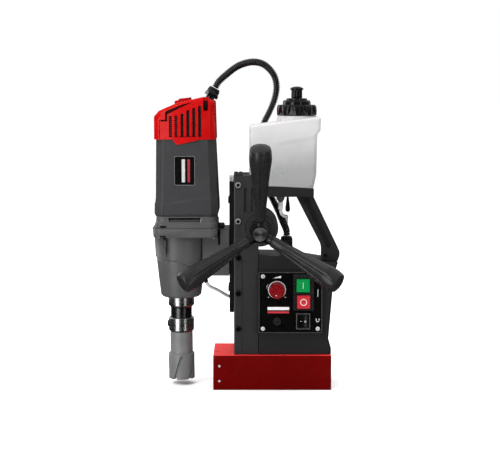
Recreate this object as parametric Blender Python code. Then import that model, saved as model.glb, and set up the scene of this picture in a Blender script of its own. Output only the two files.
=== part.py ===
"""A magnetic drill press, about 460 mm tall, as separate pieces.

Units are metres, +Z is up and the origin is the centre of the magnet's bottom face.
The control panel and the feed handles face -Y, and the spindle is on the -X side.
"""

import math

import bmesh
import bpy
import numpy as np
from mathutils import Matrix, Vector

MM = 0.001
GAP = 0.3 * MM  # left between two pieces that touch
RUN = 0.35 * MM  # left between a sliding or turning piece and its guide
UP = Vector((0, 0, 1))
BACK = Vector((0, 1, 0))

# Magnet base
MAGNET_HALF_LENGTH = 82.5 * MM
MAGNET_HALF_WIDTH = 40 * MM
MAGNET_HEIGHT = 49 * MM
POCKET_HALF = (66 * MM, 28 * MM)
POLE_HALF = (44 * MM, 8.5 * MM)
POCKET_DEPTH = 34 * MM
RESIN_DEPTH = 6 * MM

# Column and its slideway; the dovetail flanks rise 1 in 2 from the left face
COLUMN_LEFT = -53.5 * MM
COLUMN_RIGHT = -19 * MM
COLUMN_HALF_DEPTH = 33 * MM
COLUMN_TOP = 300 * MM
GROOVE_FLOOR = -41.5 * MM
FLANK_RISE = 0.5
NECK_HALF = 13.7 * MM
GIB_THICKNESS = 3.2 * MM
GIB_SCREW_X = -47.4 * MM
GIB_SCREW_TOP = 287 * MM
GIB_SCREW_PITCH = 50.3 * MM
GIB_SCREW_COUNT = 5

# Feed: the rack on the ram and the pinion on the feed shaft
FEED_X = -17.5 * MM
FEED_Z = 227.3 * MM
BOSS_RADIUS = 25.7 * MM
BOSS_FRONT = -35 * MM
PINION_BORE = 20.5 * MM
PINION_POCKET = 11 * MM
REAR_BORE = 10.3 * MM
RACK_MODULE = 1.5 * MM
PINION_TEETH = 24
PINION_HALF_WIDTH = 10.5 * MM
RACK_HALF_WIDTH = 8 * MM
RACK_TEETH = 32
RACK_SLOT_HALF = 8.3 * MM
RACK_SLOT_END = -33.5 * MM
SHAFT_RADIUS = 9 * MM
HUB_PLANE = -92 * MM  # where the handles' axes meet the feed axis
HANDLE_TILT = math.radians(25)
HANDLE_ANGLES = (90, 210, 330)
STUD_RADIUS = 4 * MM

# Ram
RAM_LEFT = -59.7 * MM
RAM_FACE = COLUMN_LEFT - GAP
RAM_HALF = 22 * MM
RAM_BOTTOM = 107 * MM
RAM_TOP = 290 * MM

# Motor, gears and spindle
MOTOR_X = -121 * MM
SPINDLE_X = -128.5 * MM
LAYSHAFT_X = -99 * MM
GEAR_MODULE = 1 * MM
MOTOR_PINION_TEETH = 10
LAYSHAFT_GEAR_TEETH = 34
LAYSHAFT_PINION_TEETH = 13
OUTPUT_GEAR_TEETH = 46
FIRST_STAGE = (219 * MM, 225 * MM)
SECOND_STAGE = (196 * MM, 206 * MM)
CASE_BOTTOM = 127.5 * MM
FLANGE_BOTTOM = 215 * MM
LAYSHAFT_GEAR_ROOM = 2.5 * MM  # round each gear in the gear case
OUTPUT_GEAR_ROOM = 5 * MM
LAYSHAFT_PINION_ROOM = 2 * MM
FLANGE_TOP = 227.7 * MM
MOTOR_BOTTOM = 244.8 * MM
MOTOR_TOP = 349.5 * MM
MOTOR_HALF_DEPTH = 45 * MM
SPINDLE_RADIUS = 8 * MM
NOSE_RADIUS = 18.25 * MM
CUTTER_TIP = 8.8 * MM

# Electronics housing and its panel
HOUSING_LEFT = COLUMN_RIGHT + GAP
HOUSING_BOTTOM = MAGNET_HEIGHT + GAP
HOUSING_FRONT = -33.5 * MM
HOUSING_BACK = 30 * MM
WALL = 3 * MM
PANEL_FRONT = -35.8 * MM
PANEL_BACK = -33.8 * MM
PANEL_X = (-17.7 * MM, 68 * MM)
PANEL_Z = (81.8 * MM, 165 * MM)
KNOB_CENTRE = (6.4 * MM, 141.7 * MM)
START_CENTRE = (42.6 * MM, 147.8 * MM)
STOP_CENTRE = (43.2 * MM, 125 * MM)
SWITCH_X = (29 * MM, 57.5 * MM)
SWITCH_Z = (112.5 * MM, 163.4 * MM)
ROCKER_X = (33 * MM, 52.8 * MM)
ROCKER_Z = (85.8 * MM, 108.8 * MM)
FUSE_CENTRE = (6.8 * MM, 97.1 * MM)
BUTTON_HALF = 9.1 * MM
BUTTON_DEPTH = 10 * MM

# Coolant bottle
TRAY_BOTTOM = 270.5 * MM
TRAY_TOP = 286 * MM  # at its left end; the top slopes down to the right
TRAY_TOP_RIGHT = 282 * MM
TRAY_RIGHT = 57 * MM
CAP_X = 34 * MM
NECK_BOTTOM = 372 * MM
TAP_X = 11.5 * MM
TAP_Y = -15 * MM
LEVER_X = 18.3 * MM
LEVER_THICKNESS = 6.5 * MM
LEVER_Z = 264.5 * MM

# Conduit and coolant tube
CONDUIT_RADIUS = 5 * MM
TUBE_RADIUS = 2.5 * MM
TUBE_SPACING = 5 * MM  # between the rings of the coolant tube
MOTOR_GLAND_BASE = Vector((-86.6, 0, 406)) * MM
MOTOR_GLAND_LEAN = math.radians(62)
FRAME_GLAND = (21 * MM, 12 * MM)
FRAME_GLAND_TOP = 210.5 * MM

FINISHES = {
    "red_paint": ((0.42, 0.01, 0.01), 0.35, 0.0),
    "red_plastic": ((0.62, 0.006, 0.006), 0.25, 0.0),
    "black_paint": ((0.012, 0.012, 0.013), 0.5, 0.0),
    "charcoal_plastic": ((0.03, 0.03, 0.032), 0.55, 0.0),
    "grey_paint": ((0.1, 0.1, 0.1), 0.5, 0.2),
    "black_plastic": ((0.01, 0.01, 0.01), 0.4, 0.0),
    "gloss_black": ((0.008, 0.008, 0.008), 0.2, 0.0),
    "rubber": ((0.015, 0.015, 0.015), 0.8, 0.0),
    "bright_steel": ((0.6, 0.6, 0.6), 0.2, 1.0),
    "satin_steel": ((0.35, 0.35, 0.34), 0.4, 1.0),
    "dark_steel": ((0.08, 0.08, 0.08), 0.4, 1.0),
    "bronze": ((0.5, 0.3, 0.1), 0.35, 1.0),
    "copper": ((0.6, 0.25, 0.1), 0.35, 1.0),
    "resin": ((0.02, 0.02, 0.025), 0.5, 0.0),
    "board_green": ((0.01, 0.09, 0.03), 0.5, 0.0),
    "milky_plastic": ((0.65, 0.66, 0.68), 0.35, 0.0),
    "clear_plastic": ((0.7, 0.72, 0.74), 0.15, 0.0),
    "green_plastic": ((0.005, 0.26, 0.06), 0.3, 0.0),
    "button_red": ((0.55, 0.005, 0.02), 0.3, 0.0),
}


# ---------------------------------------------------------------- making solids


def clear_scene():
    for item in list(bpy.data.objects):
        bpy.data.objects.remove(item, do_unlink=True)


def finish_named(name):
    found = bpy.data.materials.get(name)
    if found:
        return found
    colour, roughness, metallic = FINISHES[name]
    made = bpy.data.materials.new(name)
    made.use_nodes = True
    shader = made.node_tree.nodes["Principled BSDF"]
    shader.inputs["Base Color"].default_value = (*colour, 1)
    shader.inputs["Roughness"].default_value = roughness
    shader.inputs["Metallic"].default_value = metallic
    return made


def add(name, bm, finish, origin=(0, 0, 0)):
    """An object from a bmesh in world coordinates, with its own origin."""
    bmesh.ops.recalc_face_normals(bm, faces=bm.faces)
    if bm.calc_volume(signed=True) < 0:
        bmesh.ops.reverse_faces(bm, faces=bm.faces)
    bmesh.ops.translate(bm, verts=bm.verts, vec=-Vector(origin))
    mesh = bpy.data.meshes.new(name)
    bm.to_mesh(mesh)
    bm.free()
    mesh.shade_smooth()
    mesh.set_sharp_from_angle(angle=math.radians(35))
    mesh.materials.append(finish_named(finish))
    made = bpy.data.objects.new(name, mesh)
    made.location = origin
    bpy.context.collection.objects.link(made)
    return made


def boolean(target, bm, operation):
    """Cuts a shape from the target or joins it on; the helper object stays hidden."""
    tool = add(f"{target.name}_{operation.lower()}_{len(target.modifiers)}", bm, "satin_steel")
    tool.hide_render = True
    tool.display_type = "WIRE"
    modifier = target.modifiers.new(operation.title(), "BOOLEAN")
    modifier.operation = operation
    modifier.solver = "EXACT"
    modifier.object = tool


def cut(target, *shapes):
    for shape in shapes:
        boolean(target, shape, "DIFFERENCE")


def join(target, *shapes):
    for shape in shapes:
        boolean(target, shape, "UNION")


def block(low, high, bevel=0.0, segments=1):
    bm = bmesh.new()
    size = Vector(high) - Vector(low)
    middle = (Vector(high) + Vector(low)) / 2
    place = Matrix.Translation(middle) @ Matrix.Diagonal((*size, 1))
    bmesh.ops.create_cube(bm, size=1, matrix=place)
    if bevel:
        bmesh.ops.bevel(bm, geom=bm.edges, offset=bevel, segments=segments, affect="EDGES", profile=0.5)
    return bm


def loft(rings):
    """A closed solid through rings of equally many points, with flat ends."""
    bm = bmesh.new()
    rows = [[bm.verts.new(point) for point in ring] for ring in rings]
    for low, high in zip(rows, rows[1:]):
        for i in range(len(low)):
            j = (i + 1) % len(low)
            bm.faces.new((low[i], low[j], high[j], high[i]))
    bm.faces.new(rows[0][::-1])
    bm.faces.new(rows[-1])
    return bm


def prism(outline, axis, start, end):
    """An outline drawn in the plane across an axis and drawn out along it, from start to end."""
    spread = {
        "X": lambda u, v, along: (along, u, v),
        "Y": lambda u, v, along: (u, along, v),
        "Z": lambda u, v, along: (u, v, along),
    }[axis]
    return loft([[spread(u, v, along) for u, v in outline] for along in (start, end)])


def ring_prism(outer, inner, axis, start, end):
    """A prism with a hole of the same number of corners right through it."""
    spread = {
        "Y": lambda u, v, along: (u, along, v),
        "Z": lambda u, v, along: (u, v, along),
    }[axis]
    bm = bmesh.new()
    rows = [
        [bm.verts.new(spread(u, v, along)) for u, v in outline]
        for outline, along in ((outer, start), (outer, end), (inner, end), (inner, start))
    ]
    for row, following in zip(rows, rows[1:] + rows[:1]):
        for i in range(len(row)):
            j = (i + 1) % len(row)
            bm.faces.new((row[i], row[j], following[j], following[i]))
    return bm


def turned(profile, centre, axis=UP, steps=24):
    """A solid of revolution about an axis through centre.

    The profile holds (radius, distance along the axis) pairs. It closes on itself, or on the
    axis where it starts and ends at radius 0.
    """
    bm = bmesh.new()
    verts = [bm.verts.new((radius, 0, along)) for radius, along in profile]
    on_axis = profile[0][0] == 0 and profile[-1][0] == 0
    pairs = list(zip(verts, verts[1:]))
    if not on_axis:
        pairs.append((verts[-1], verts[0]))
    edges = [bm.edges.new(pair) for pair in pairs]
    bmesh.ops.spin(
        bm, geom=verts + edges, cent=(0, 0, 0), axis=UP, angle=2 * math.pi, steps=steps, use_merge=True
    )
    bmesh.ops.remove_doubles(bm, verts=bm.verts, dist=0.001 * MM)
    turn = UP.rotation_difference(Vector(axis)).to_matrix().to_4x4()
    bmesh.ops.transform(bm, matrix=Matrix.Translation(centre) @ turn, verts=bm.verts)
    return bm


def rod(radius, start, end, centre, axis=UP, steps=20):
    return turned([(0, start), (radius, start), (radius, end), (0, end)], centre, axis, steps)


def tube(outer, inner, start, end, centre, axis=UP, steps=24):
    return turned([(inner, start), (outer, start), (outer, end), (inner, end)], centre, axis, steps)


def rounded(outline, radius, steps=2):
    """The outline with each corner rounded to an arc of this radius."""
    points = [Vector(point) for point in outline]
    result = []
    for before, corner, after in zip(points[-1:] + points[:-1], points, points[1:] + points[:1]):
        into, out = (before - corner).normalized(), (after - corner).normalized()
        half = into.angle(out) / 2
        if half > math.radians(85):
            result.append(corner)
            continue
        reach = radius / math.tan(half)
        start, end = corner + into * reach, corner + out * reach
        middle = corner + (into + out).normalized() * radius / math.sin(half)
        for step in range(steps + 1):
            mix = (start - middle).lerp(end - middle, step / steps)
            result.append(middle + mix.normalized() * radius)
    return result


def rectangle(low, high):
    return [(low[0], low[1]), (high[0], low[1]), (high[0], high[1]), (low[0], high[1])]


def about(centre_x, half_x, half_y):
    return rectangle((centre_x - half_x, -half_y), (centre_x + half_x, half_y))


def gear_outline(teeth, module, first_angle, thinning=0.12 * MM, height=0.85):
    """An involute gear about the origin, with a tooth centred on first_angle."""
    pressure = math.radians(20)
    pitch = teeth * module / 2
    base = pitch * math.cos(pressure)
    tip = pitch + height * module
    root = pitch - (height + 0.25) * module
    involute = math.tan(pressure) - pressure
    half_tooth = math.pi / (2 * teeth) - thinning / (2 * pitch)
    flank = []
    for radius in (root, tip):
        local = math.acos(min(1, base / radius))
        flank.append((radius, half_tooth + involute - (math.tan(local) - local)))
    points = []
    for tooth in range(teeth):
        centre = first_angle + tooth * 2 * math.pi / teeth
        points += [(radius, centre - offset) for radius, offset in flank]
        points += [(radius, centre + offset) for radius, offset in reversed(flank)]
    return [(radius * math.cos(angle), radius * math.sin(angle)) for radius, angle in points]


def moved(outline, x, y=0.0):
    return [(u + x, v + y) for u, v in outline]


def smooth_route(route, spacing):
    """Evenly spaced points on a smooth curve through the route's points."""
    points = [Vector(point) * MM for point in route]
    points = [2 * points[0] - points[1], *points, 2 * points[-1] - points[-2]]
    fine = []
    for a, b, c, d in zip(points, points[1:], points[2:], points[3:]):
        for t in np.linspace(0, 1, 24, endpoint=False):
            t = float(t)
            fine.append(
                0.5 * (2 * b + (c - a) * t + (2 * a - 5 * b + 4 * c - d) * t**2 + (3 * b - a - 3 * c + d) * t**3)
            )
    fine.append(points[-2])
    along = np.concatenate([[0], np.cumsum([(q - p).length for p, q in zip(fine, fine[1:])])])
    stations = np.linspace(0, along[-1], max(2, round(along[-1] / spacing)) + 1)
    return [Vector([float(np.interp(s, along, [p[k] for p in fine])) for k in range(3)]) for s in stations]


def hose(name, route, radius, spacing, finish):
    points = smooth_route(route, spacing)
    curve = bpy.data.curves.new(name, "CURVE")
    curve.dimensions = "3D"
    curve.bevel_depth = radius
    curve.bevel_resolution = 2
    curve.use_fill_caps = True
    curve.materials.append(finish_named(finish))
    spline = curve.splines.new("POLY")
    spline.points.add(len(points) - 1)
    for place, point in zip(spline.points, points):
        place.co = (*point, 1)
    made = bpy.data.objects.new(name, curve)
    bpy.context.collection.objects.link(made)
    return made


# ---------------------------------------------------------------- magnet base


def pocket_ring(inset, start, end):
    """The racetrack between the magnet's wall and its middle pole, inset all round."""
    outer = rounded(about(0, POCKET_HALF[0] - inset, POCKET_HALF[1] - inset), 6 * MM)
    inner = rounded(about(0, POLE_HALF[0] + inset, POLE_HALF[1] + inset), 3 * MM)
    return ring_prism(outer, inner, "Z", start, end)


def make_magnet():
    low = (-MAGNET_HALF_LENGTH, -MAGNET_HALF_WIDTH, 0)
    high = (MAGNET_HALF_LENGTH, MAGNET_HALF_WIDTH, MAGNET_HEIGHT)
    body = add("magnet_body", block(low, high, bevel=1.2 * MM), "red_paint")
    cut(body, pocket_ring(0, -1 * MM, POCKET_DEPTH))
    add("magnet_coil", pocket_ring(GAP, RESIN_DEPTH + GAP, POCKET_DEPTH - GAP), "copper")
    add("magnet_resin", pocket_ring(GAP, GAP, RESIN_DEPTH), "resin")


# ---------------------------------------------------------------- column and feed


def flank(x, offset):
    """Half the dovetail's width at x, plus an offset, measured across Y."""
    return NECK_HALF + FLANK_RISE * (x - RAM_FACE) + offset


def make_column():
    feed = (FEED_X, 0, FEED_Z)
    plan = rectangle((COLUMN_LEFT, -COLUMN_HALF_DEPTH), (COLUMN_RIGHT, COLUMN_HALF_DEPTH))
    body = add("column", prism(rounded(plan, 2 * MM), "Z", MAGNET_HEIGHT + GAP, COLUMN_TOP), "black_paint")
    boss = [
        (0, BOSS_FRONT),
        (BOSS_RADIUS, BOSS_FRONT),
        (BOSS_RADIUS, 15 * MM),
        (16 * MM, 20 * MM),
        (16 * MM, COLUMN_HALF_DEPTH - 0.2 * MM),
        (0, COLUMN_HALF_DEPTH - 0.2 * MM),
    ]
    join(body, turned(boss, feed, BACK, 36))
    front = GIB_THICKNESS + 2 * RUN
    mouth = COLUMN_LEFT - 2 * MM
    groove = [
        (mouth, -flank(mouth, front)),
        (GROOVE_FLOOR, -flank(GROOVE_FLOOR, front)),
        (GROOVE_FLOOR, -RACK_SLOT_HALF),
        (RACK_SLOT_END, -RACK_SLOT_HALF),
        (RACK_SLOT_END, RACK_SLOT_HALF),
        (GROOVE_FLOOR, RACK_SLOT_HALF),
        (GROOVE_FLOOR, flank(GROOVE_FLOOR, RUN)),
        (mouth, flank(mouth, RUN)),
    ]
    cut(body, prism(groove, "Z", MAGNET_HEIGHT - 1 * MM, COLUMN_TOP + 1 * MM))
    bore = [
        (0, BOSS_FRONT - 1 * MM),
        (PINION_BORE, BOSS_FRONT - 1 * MM),
        (PINION_BORE, PINION_POCKET),
        (REAR_BORE, PINION_POCKET),
        (REAR_BORE, COLUMN_HALF_DEPTH + 1 * MM),
        (0, COLUMN_HALF_DEPTH + 1 * MM),
    ]
    cut(body, turned(bore, feed, BACK, 28))
    for z in gib_screw_heights():
        centre = (GIB_SCREW_X, 0, z)
        cut(
            body,
            rod(2.8 * MM, -COLUMN_HALF_DEPTH - 1 * MM, -19 * MM, centre, BACK, 12),
            rod(4.6 * MM, BOSS_FRONT - 1.5 * MM, -COLUMN_HALF_DEPTH + 0.3 * MM, centre, BACK, 14),
        )


def gib_screw_heights():
    return [GIB_SCREW_TOP - i * GIB_SCREW_PITCH for i in range(GIB_SCREW_COUNT)]


def make_gib():
    left, right = COLUMN_LEFT + 1 * MM, GROOVE_FLOOR - GAP
    outline = [
        (left, -flank(left, RUN)),
        (right, -flank(right, RUN)),
        (right, -flank(right, RUN + GIB_THICKNESS)),
        (left, -flank(left, RUN + GIB_THICKNESS)),
    ]
    add("gib_strip", prism(outline, "Z", MAGNET_HEIGHT + 6 * MM, COLUMN_TOP - 3 * MM), "bronze")
    end = -flank(GIB_SCREW_X + 2.5 * MM, GIB_THICKNESS + RUN + GAP)
    profile = [
        (0, end),
        (2.5 * MM, end),
        (2.5 * MM, -COLUMN_HALF_DEPTH - GAP),
        (4 * MM, -COLUMN_HALF_DEPTH - GAP),
        (4 * MM, -COLUMN_HALF_DEPTH - 2.4 * MM),
        (2.2 * MM, -COLUMN_HALF_DEPTH - 2.4 * MM),
        (1.6 * MM, -COLUMN_HALF_DEPTH - 1.2 * MM),
        (0, -COLUMN_HALF_DEPTH - 1.2 * MM),
    ]
    for number, z in enumerate(gib_screw_heights(), 1):
        centre = (GIB_SCREW_X, 0, z)
        add(f"gib_screw_{number}", turned(profile, centre, BACK, 16), "bright_steel", centre)


def make_feed():
    feed = (FEED_X, 0, FEED_Z)
    front = BOSS_FRONT
    add("feed_bush_front", tube(20 * MM, 9.3 * MM, front, -PINION_POCKET - GAP, feed, BACK), "dark_steel", feed)
    add("feed_bush_rear", tube(10 * MM, 8.3 * MM, PINION_POCKET + GAP, 33 * MM, feed, BACK, 24), "dark_steel", feed)
    shaft = [
        (0, HUB_PLANE - 3 * MM),
        (SHAFT_RADIUS, HUB_PLANE - 3 * MM),
        (SHAFT_RADIUS, PINION_HALF_WIDTH - 1 * MM),
        (8 * MM, PINION_HALF_WIDTH - 1 * MM),
        (8 * MM, 35 * MM),
        (0, 35 * MM),
    ]
    body = add("feed_shaft", turned(shaft, feed, BACK), "satin_steel", feed)
    gap_first = math.pi + math.pi / PINION_TEETH
    teeth = moved(gear_outline(PINION_TEETH, RACK_MODULE, gap_first), FEED_X, FEED_Z)
    join(body, prism(teeth, "Y", -PINION_HALF_WIDTH, PINION_HALF_WIDTH))


def handle_direction(angle):
    """The way one handle points: out from the feed axis and leaning to the front."""
    turn = math.radians(angle)
    outward = Vector((math.cos(turn), 0, math.sin(turn)))
    return (outward * math.cos(HANDLE_TILT) - BACK * math.sin(HANDLE_TILT)).normalized()


def make_hub():
    feed = (FEED_X, 0, FEED_Z)
    profile = [
        (9.3 * MM, BOSS_FRONT - RUN),
        (14 * MM, BOSS_FRONT - RUN),
        (15 * MM, HUB_PLANE + 14 * MM),
        (16 * MM, HUB_PLANE + 8 * MM),
        (16 * MM, HUB_PLANE - 6 * MM),
        (10.6 * MM, HUB_PLANE - 12.5 * MM),
        (10 * MM, HUB_PLANE - 14 * MM),
        (0, HUB_PLANE - 14 * MM),
    ]
    bored = [(0, HUB_PLANE - 3.3 * MM), (9.3 * MM, HUB_PLANE - 3.3 * MM)]
    body = add("feed_hub", turned([*bored, *profile], feed, BACK), "dark_steel", feed)
    for angle in HANDLE_ANGLES:
        hole = rod(STUD_RADIUS + GAP, 12.8 * MM, 30 * MM, (FEED_X, HUB_PLANE, FEED_Z), handle_direction(angle), 16)
        cut(body, hole)


def make_handles():
    """Tapered grips on threaded studs; the fattest place is near the domed end."""
    profile = [
        (0, 13.2),
        (STUD_RADIUS / MM, 13.2),
        (STUD_RADIUS / MM, 21.4),
        (7.2, 21.4),
        (7.8, 39),
        (9.4, 55),
        (11.2, 81),
        (12.9, 96),
        (14.9, 112),
        (14.6, 120),
        (13.1, 127.9),
        (8, 130.8),
        (0, 131.7),
    ]
    profile = [(radius * MM, along * MM) for radius, along in profile]
    feed = (FEED_X, 0, FEED_Z)
    for number, angle in enumerate(HANDLE_ANGLES, 1):
        shape = turned(profile, (FEED_X, HUB_PLANE, FEED_Z), handle_direction(angle), 16)
        add(f"feed_handle_{number}", shape, "black_plastic", feed)


# ---------------------------------------------------------------- ram and its bracket


def make_ram():
    right = GROOVE_FLOOR - GAP
    outline = [
        (RAM_LEFT, -RAM_HALF),
        (RAM_FACE, -RAM_HALF),
        (RAM_FACE, -flank(RAM_FACE, 0)),
        (right, -flank(right, 0)),
        (right, flank(right, 0)),
        (RAM_FACE, flank(RAM_FACE, 0)),
        (RAM_FACE, RAM_HALF),
        (RAM_LEFT, RAM_HALF),
    ]
    add("ram_slide", prism(outline, "Z", RAM_BOTTOM, RAM_TOP), "black_paint")
    stop = block(
        (RAM_LEFT, -12 * MM, RAM_TOP + GAP), (RAM_FACE, 12 * MM, RAM_TOP + 7.6 * MM), bevel=0.5 * MM
    )
    add("ram_stop", stop, "bright_steel")


def make_rack():
    pitch = math.pi * RACK_MODULE
    pitch_line = FEED_X - PINION_TEETH * RACK_MODULE / 2
    tip = pitch_line + 0.85 * RACK_MODULE
    root = pitch_line - 1.1 * RACK_MODULE
    slope = math.tan(math.radians(20))
    half_at_pitch = pitch / 4 - 0.06 * MM
    half_root = half_at_pitch + (pitch_line - root) * slope
    half_tip = half_at_pitch - (tip - pitch_line) * slope
    # The middle tooth stands level with the feed shaft, and more teeth lie above it than below
    first = -RACK_TEETH // 2 - 3
    centres = [FEED_Z + (first + i) * pitch for i in range(RACK_TEETH)]
    back = GROOVE_FLOOR
    outline = [(back, centres[0] - pitch / 2)]
    for z in centres:
        outline += [(root, z - half_root), (tip, z - half_tip), (tip, z + half_tip), (root, z + half_root)]
    outline.append((back, centres[-1] + pitch / 2))
    add("rack", prism(outline, "Y", -RACK_HALF_WIDTH, RACK_HALF_WIDTH), "satin_steel")


def case_profile(inset):
    """The gear case's cone about the spindle, from the bottom up."""
    return [
        (26.5 * MM + inset, CASE_BOTTOM),
        (28.2 * MM + inset, CASE_BOTTOM + 1.5 * MM),
        (31 * MM + inset, 149 * MM),
        (34.5 * MM + inset, 178 * MM),
        (36.5 * MM + inset, 206 * MM),
        (37 * MM + inset, FLANGE_BOTTOM + 1 * MM),
    ]


def solid_case(inset):
    profile = [(0, CASE_BOTTOM), *case_profile(inset), (0, FLANGE_BOTTOM + 1 * MM)]
    return turned(profile, (SPINDLE_X, 0, 0), UP, 30)


def layshaft_boss(inset):
    profile = [
        (0, 178 * MM - 2 * inset),
        (7 * MM + inset, 180 * MM - 2 * inset),
        (12 * MM + inset, 187 * MM - 2 * inset),
        (12 * MM + inset, FLANGE_BOTTOM + 2 * MM),
        (0, FLANGE_BOTTOM + 2 * MM),
    ]
    return turned(profile, (LAYSHAFT_X, 0, 0), UP, 20)


def make_bracket():
    left, step = -97 * MM, -73.7 * MM
    outline = [
        (left, 159.4 * MM),
        (RAM_LEFT - GAP, 159.4 * MM),
        (RAM_LEFT - GAP, 225 * MM),
        (step, 225 * MM),
        (step, FLANGE_BOTTOM - GAP),
        (left, FLANGE_BOTTOM - GAP),
    ]
    body = add("motor_bracket", prism(outline, "Y", -25 * MM, 25 * MM), "grey_paint")
    cut(body, solid_case(GAP), layshaft_boss(GAP))


# ---------------------------------------------------------------- gear case, motor and cap


def body_loft(sections):
    """A box with rounded corners whose sections are (z, left, right, half depth, corner radius)."""
    rings = []
    for z, left, right, half_depth, corner in sections:
        plan = rounded(rectangle((left, -half_depth), (right, half_depth)), corner, 3)
        rings.append([(x, y, z) for x, y in plan])
    return loft(rings)


def make_gear_case():
    sections = [
        (FLANGE_BOTTOM, -161 * MM, -77 * MM, 44 * MM, 12 * MM),
        (FLANGE_TOP, -162.4 * MM, -75 * MM, MOTOR_HALF_DEPTH, 12 * MM),
    ]
    body = add("gear_case", body_loft(sections), "grey_paint")
    join(body, solid_case(0), layshaft_boss(0))
    first_gear_radius = LAYSHAFT_GEAR_TEETH * GEAR_MODULE / 2 + LAYSHAFT_GEAR_ROOM
    second_gear_radius = OUTPUT_GEAR_TEETH * GEAR_MODULE / 2 + OUTPUT_GEAR_ROOM
    small_gear_radius = LAYSHAFT_PINION_TEETH * GEAR_MODULE / 2 + LAYSHAFT_PINION_ROOM
    spindle, layshaft = (SPINDLE_X, 0, 0), (LAYSHAFT_X, 0, 0)
    cut(
        body,
        rod(first_gear_radius, 217.5 * MM, 229 * MM, layshaft, UP, 30),
        rod(second_gear_radius, 193 * MM, 230 * MM, spindle, UP, 28),
        rod(small_gear_radius, 190 * MM, 231 * MM, layshaft, UP, 17),
        rod(3.3 * MM, 185 * MM, 194 * MM, layshaft, UP, 16),
        rod(16.5 * MM, 176 * MM, 196 * MM, spindle, UP, 26),
        rod(9.5 * MM, 126 * MM, 178 * MM, spindle),
    )
    sleeve = tube(16 * MM, SPINDLE_RADIUS + RUN, 178.5 * MM, 190 * MM, spindle)
    add("spindle_bearing", sleeve, "bright_steel", spindle)


def make_gear_case_cover():
    sections = [
        (FLANGE_TOP + GAP, -162 * MM, -75.6 * MM, 44.5 * MM, 12 * MM),
        (235 * MM, -162 * MM, -75.6 * MM, 44.5 * MM, 12 * MM),
        (MOTOR_BOTTOM - GAP, -160.5 * MM, -77 * MM, 44 * MM, 11 * MM),
    ]
    body = add("gear_case_cover", body_loft(sections), "grey_paint")
    cut(
        body,
        rod(4 * MM + RUN, 226 * MM, 246 * MM, (MOTOR_X, 0, 0), UP, 20),
        rod(3.3 * MM, 226 * MM, 236 * MM, (LAYSHAFT_X, 0, 0), UP, 16),
    )


def make_motor_housing():
    sections = [
        (MOTOR_BOTTOM, -160 * MM, -77.5 * MM, 43 * MM, 10 * MM),
        (249 * MM, -162.4 * MM, -74.2 * MM, MOTOR_HALF_DEPTH, 10 * MM),
        (262 * MM, -162.2 * MM, -74.4 * MM, MOTOR_HALF_DEPTH, 10 * MM),
        (272 * MM, -160.6 * MM, -75 * MM, MOTOR_HALF_DEPTH, 9 * MM),
        (MOTOR_TOP, -159.3 * MM, -79 * MM, MOTOR_HALF_DEPTH - 1 * MM, 9 * MM),
    ]
    body = add("motor_housing", body_loft(sections), "charcoal_plastic")
    low, high = sections[0], sections[-1]
    inside = [
        (low[0] - 1 * MM, -156.8 * MM, -81.8 * MM, 40 * MM, 8 * MM),
        (high[0] + 1 * MM, -156.3 * MM, -82 * MM, 40 * MM, 7 * MM),
    ]
    cut(body, body_loft(inside))


def make_motor_inside():
    motor = (MOTOR_X, 0, 0)
    add("stator", tube(34.8 * MM, 25 * MM, 268 * MM, 330 * MM, motor), "dark_steel", motor)
    shaft = [
        (0, FIRST_STAGE[0] - 1 * MM),
        (4 * MM, FIRST_STAGE[0] - 1 * MM),
        (4 * MM, 268 * MM),
        (24 * MM, 270 * MM),
        (24 * MM, 328 * MM),
        (12 * MM, 331 * MM),
        (12 * MM, 343 * MM),
        (4 * MM, 343 * MM),
        (4 * MM, 347 * MM),
        (0, 347 * MM),
    ]
    body = add("armature", turned(shaft, motor), "copper", motor)
    teeth = moved(gear_outline(MOTOR_PINION_TEETH, GEAR_MODULE, 0), MOTOR_X)
    join(body, prism(teeth, "Z", *FIRST_STAGE))
    fan = add("cooling_fan", tube(30 * MM, 4.3 * MM, 252 * MM, 254.5 * MM, motor, UP, 20), "black_plastic", motor)
    join(fan, tube(10 * MM, 4.3 * MM, 251 * MM, 262 * MM, motor, UP, 16))
    blades = 6
    for i in range(blades):
        blade = block((8 * MM, -0.8 * MM, 253 * MM), (29 * MM, 0.8 * MM, 261 * MM))
        turn = Matrix.Rotation(2 * math.pi * i / blades, 4, "Z")
        bmesh.ops.transform(blade, matrix=Matrix.Translation(motor) @ turn, verts=blade.verts)
        join(fan, blade)


def make_gears():
    layshaft, spindle = (LAYSHAFT_X, 0, 0), (SPINDLE_X, 0, 0)
    shaft = add("layshaft", rod(3 * MM, 186 * MM, 234 * MM, layshaft, UP, 16), "satin_steel", layshaft)
    opposite = math.pi + math.pi / LAYSHAFT_GEAR_TEETH
    large = moved(gear_outline(LAYSHAFT_GEAR_TEETH, GEAR_MODULE, opposite), LAYSHAFT_X)
    small = moved(gear_outline(LAYSHAFT_PINION_TEETH, GEAR_MODULE, math.pi), LAYSHAFT_X)
    join(shaft, prism(large, "Z", *FIRST_STAGE), prism(small, "Z", SECOND_STAGE[0] - 2 * MM, 218 * MM))
    teeth = moved(gear_outline(OUTPUT_GEAR_TEETH, GEAR_MODULE, math.pi / OUTPUT_GEAR_TEETH), SPINDLE_X)
    gear = add("output_gear", prism(teeth, "Z", *SECOND_STAGE), "satin_steel", spindle)
    cut(gear, rod(SPINDLE_RADIUS + GAP, 190 * MM, 210 * MM, spindle, UP, 24))


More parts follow.
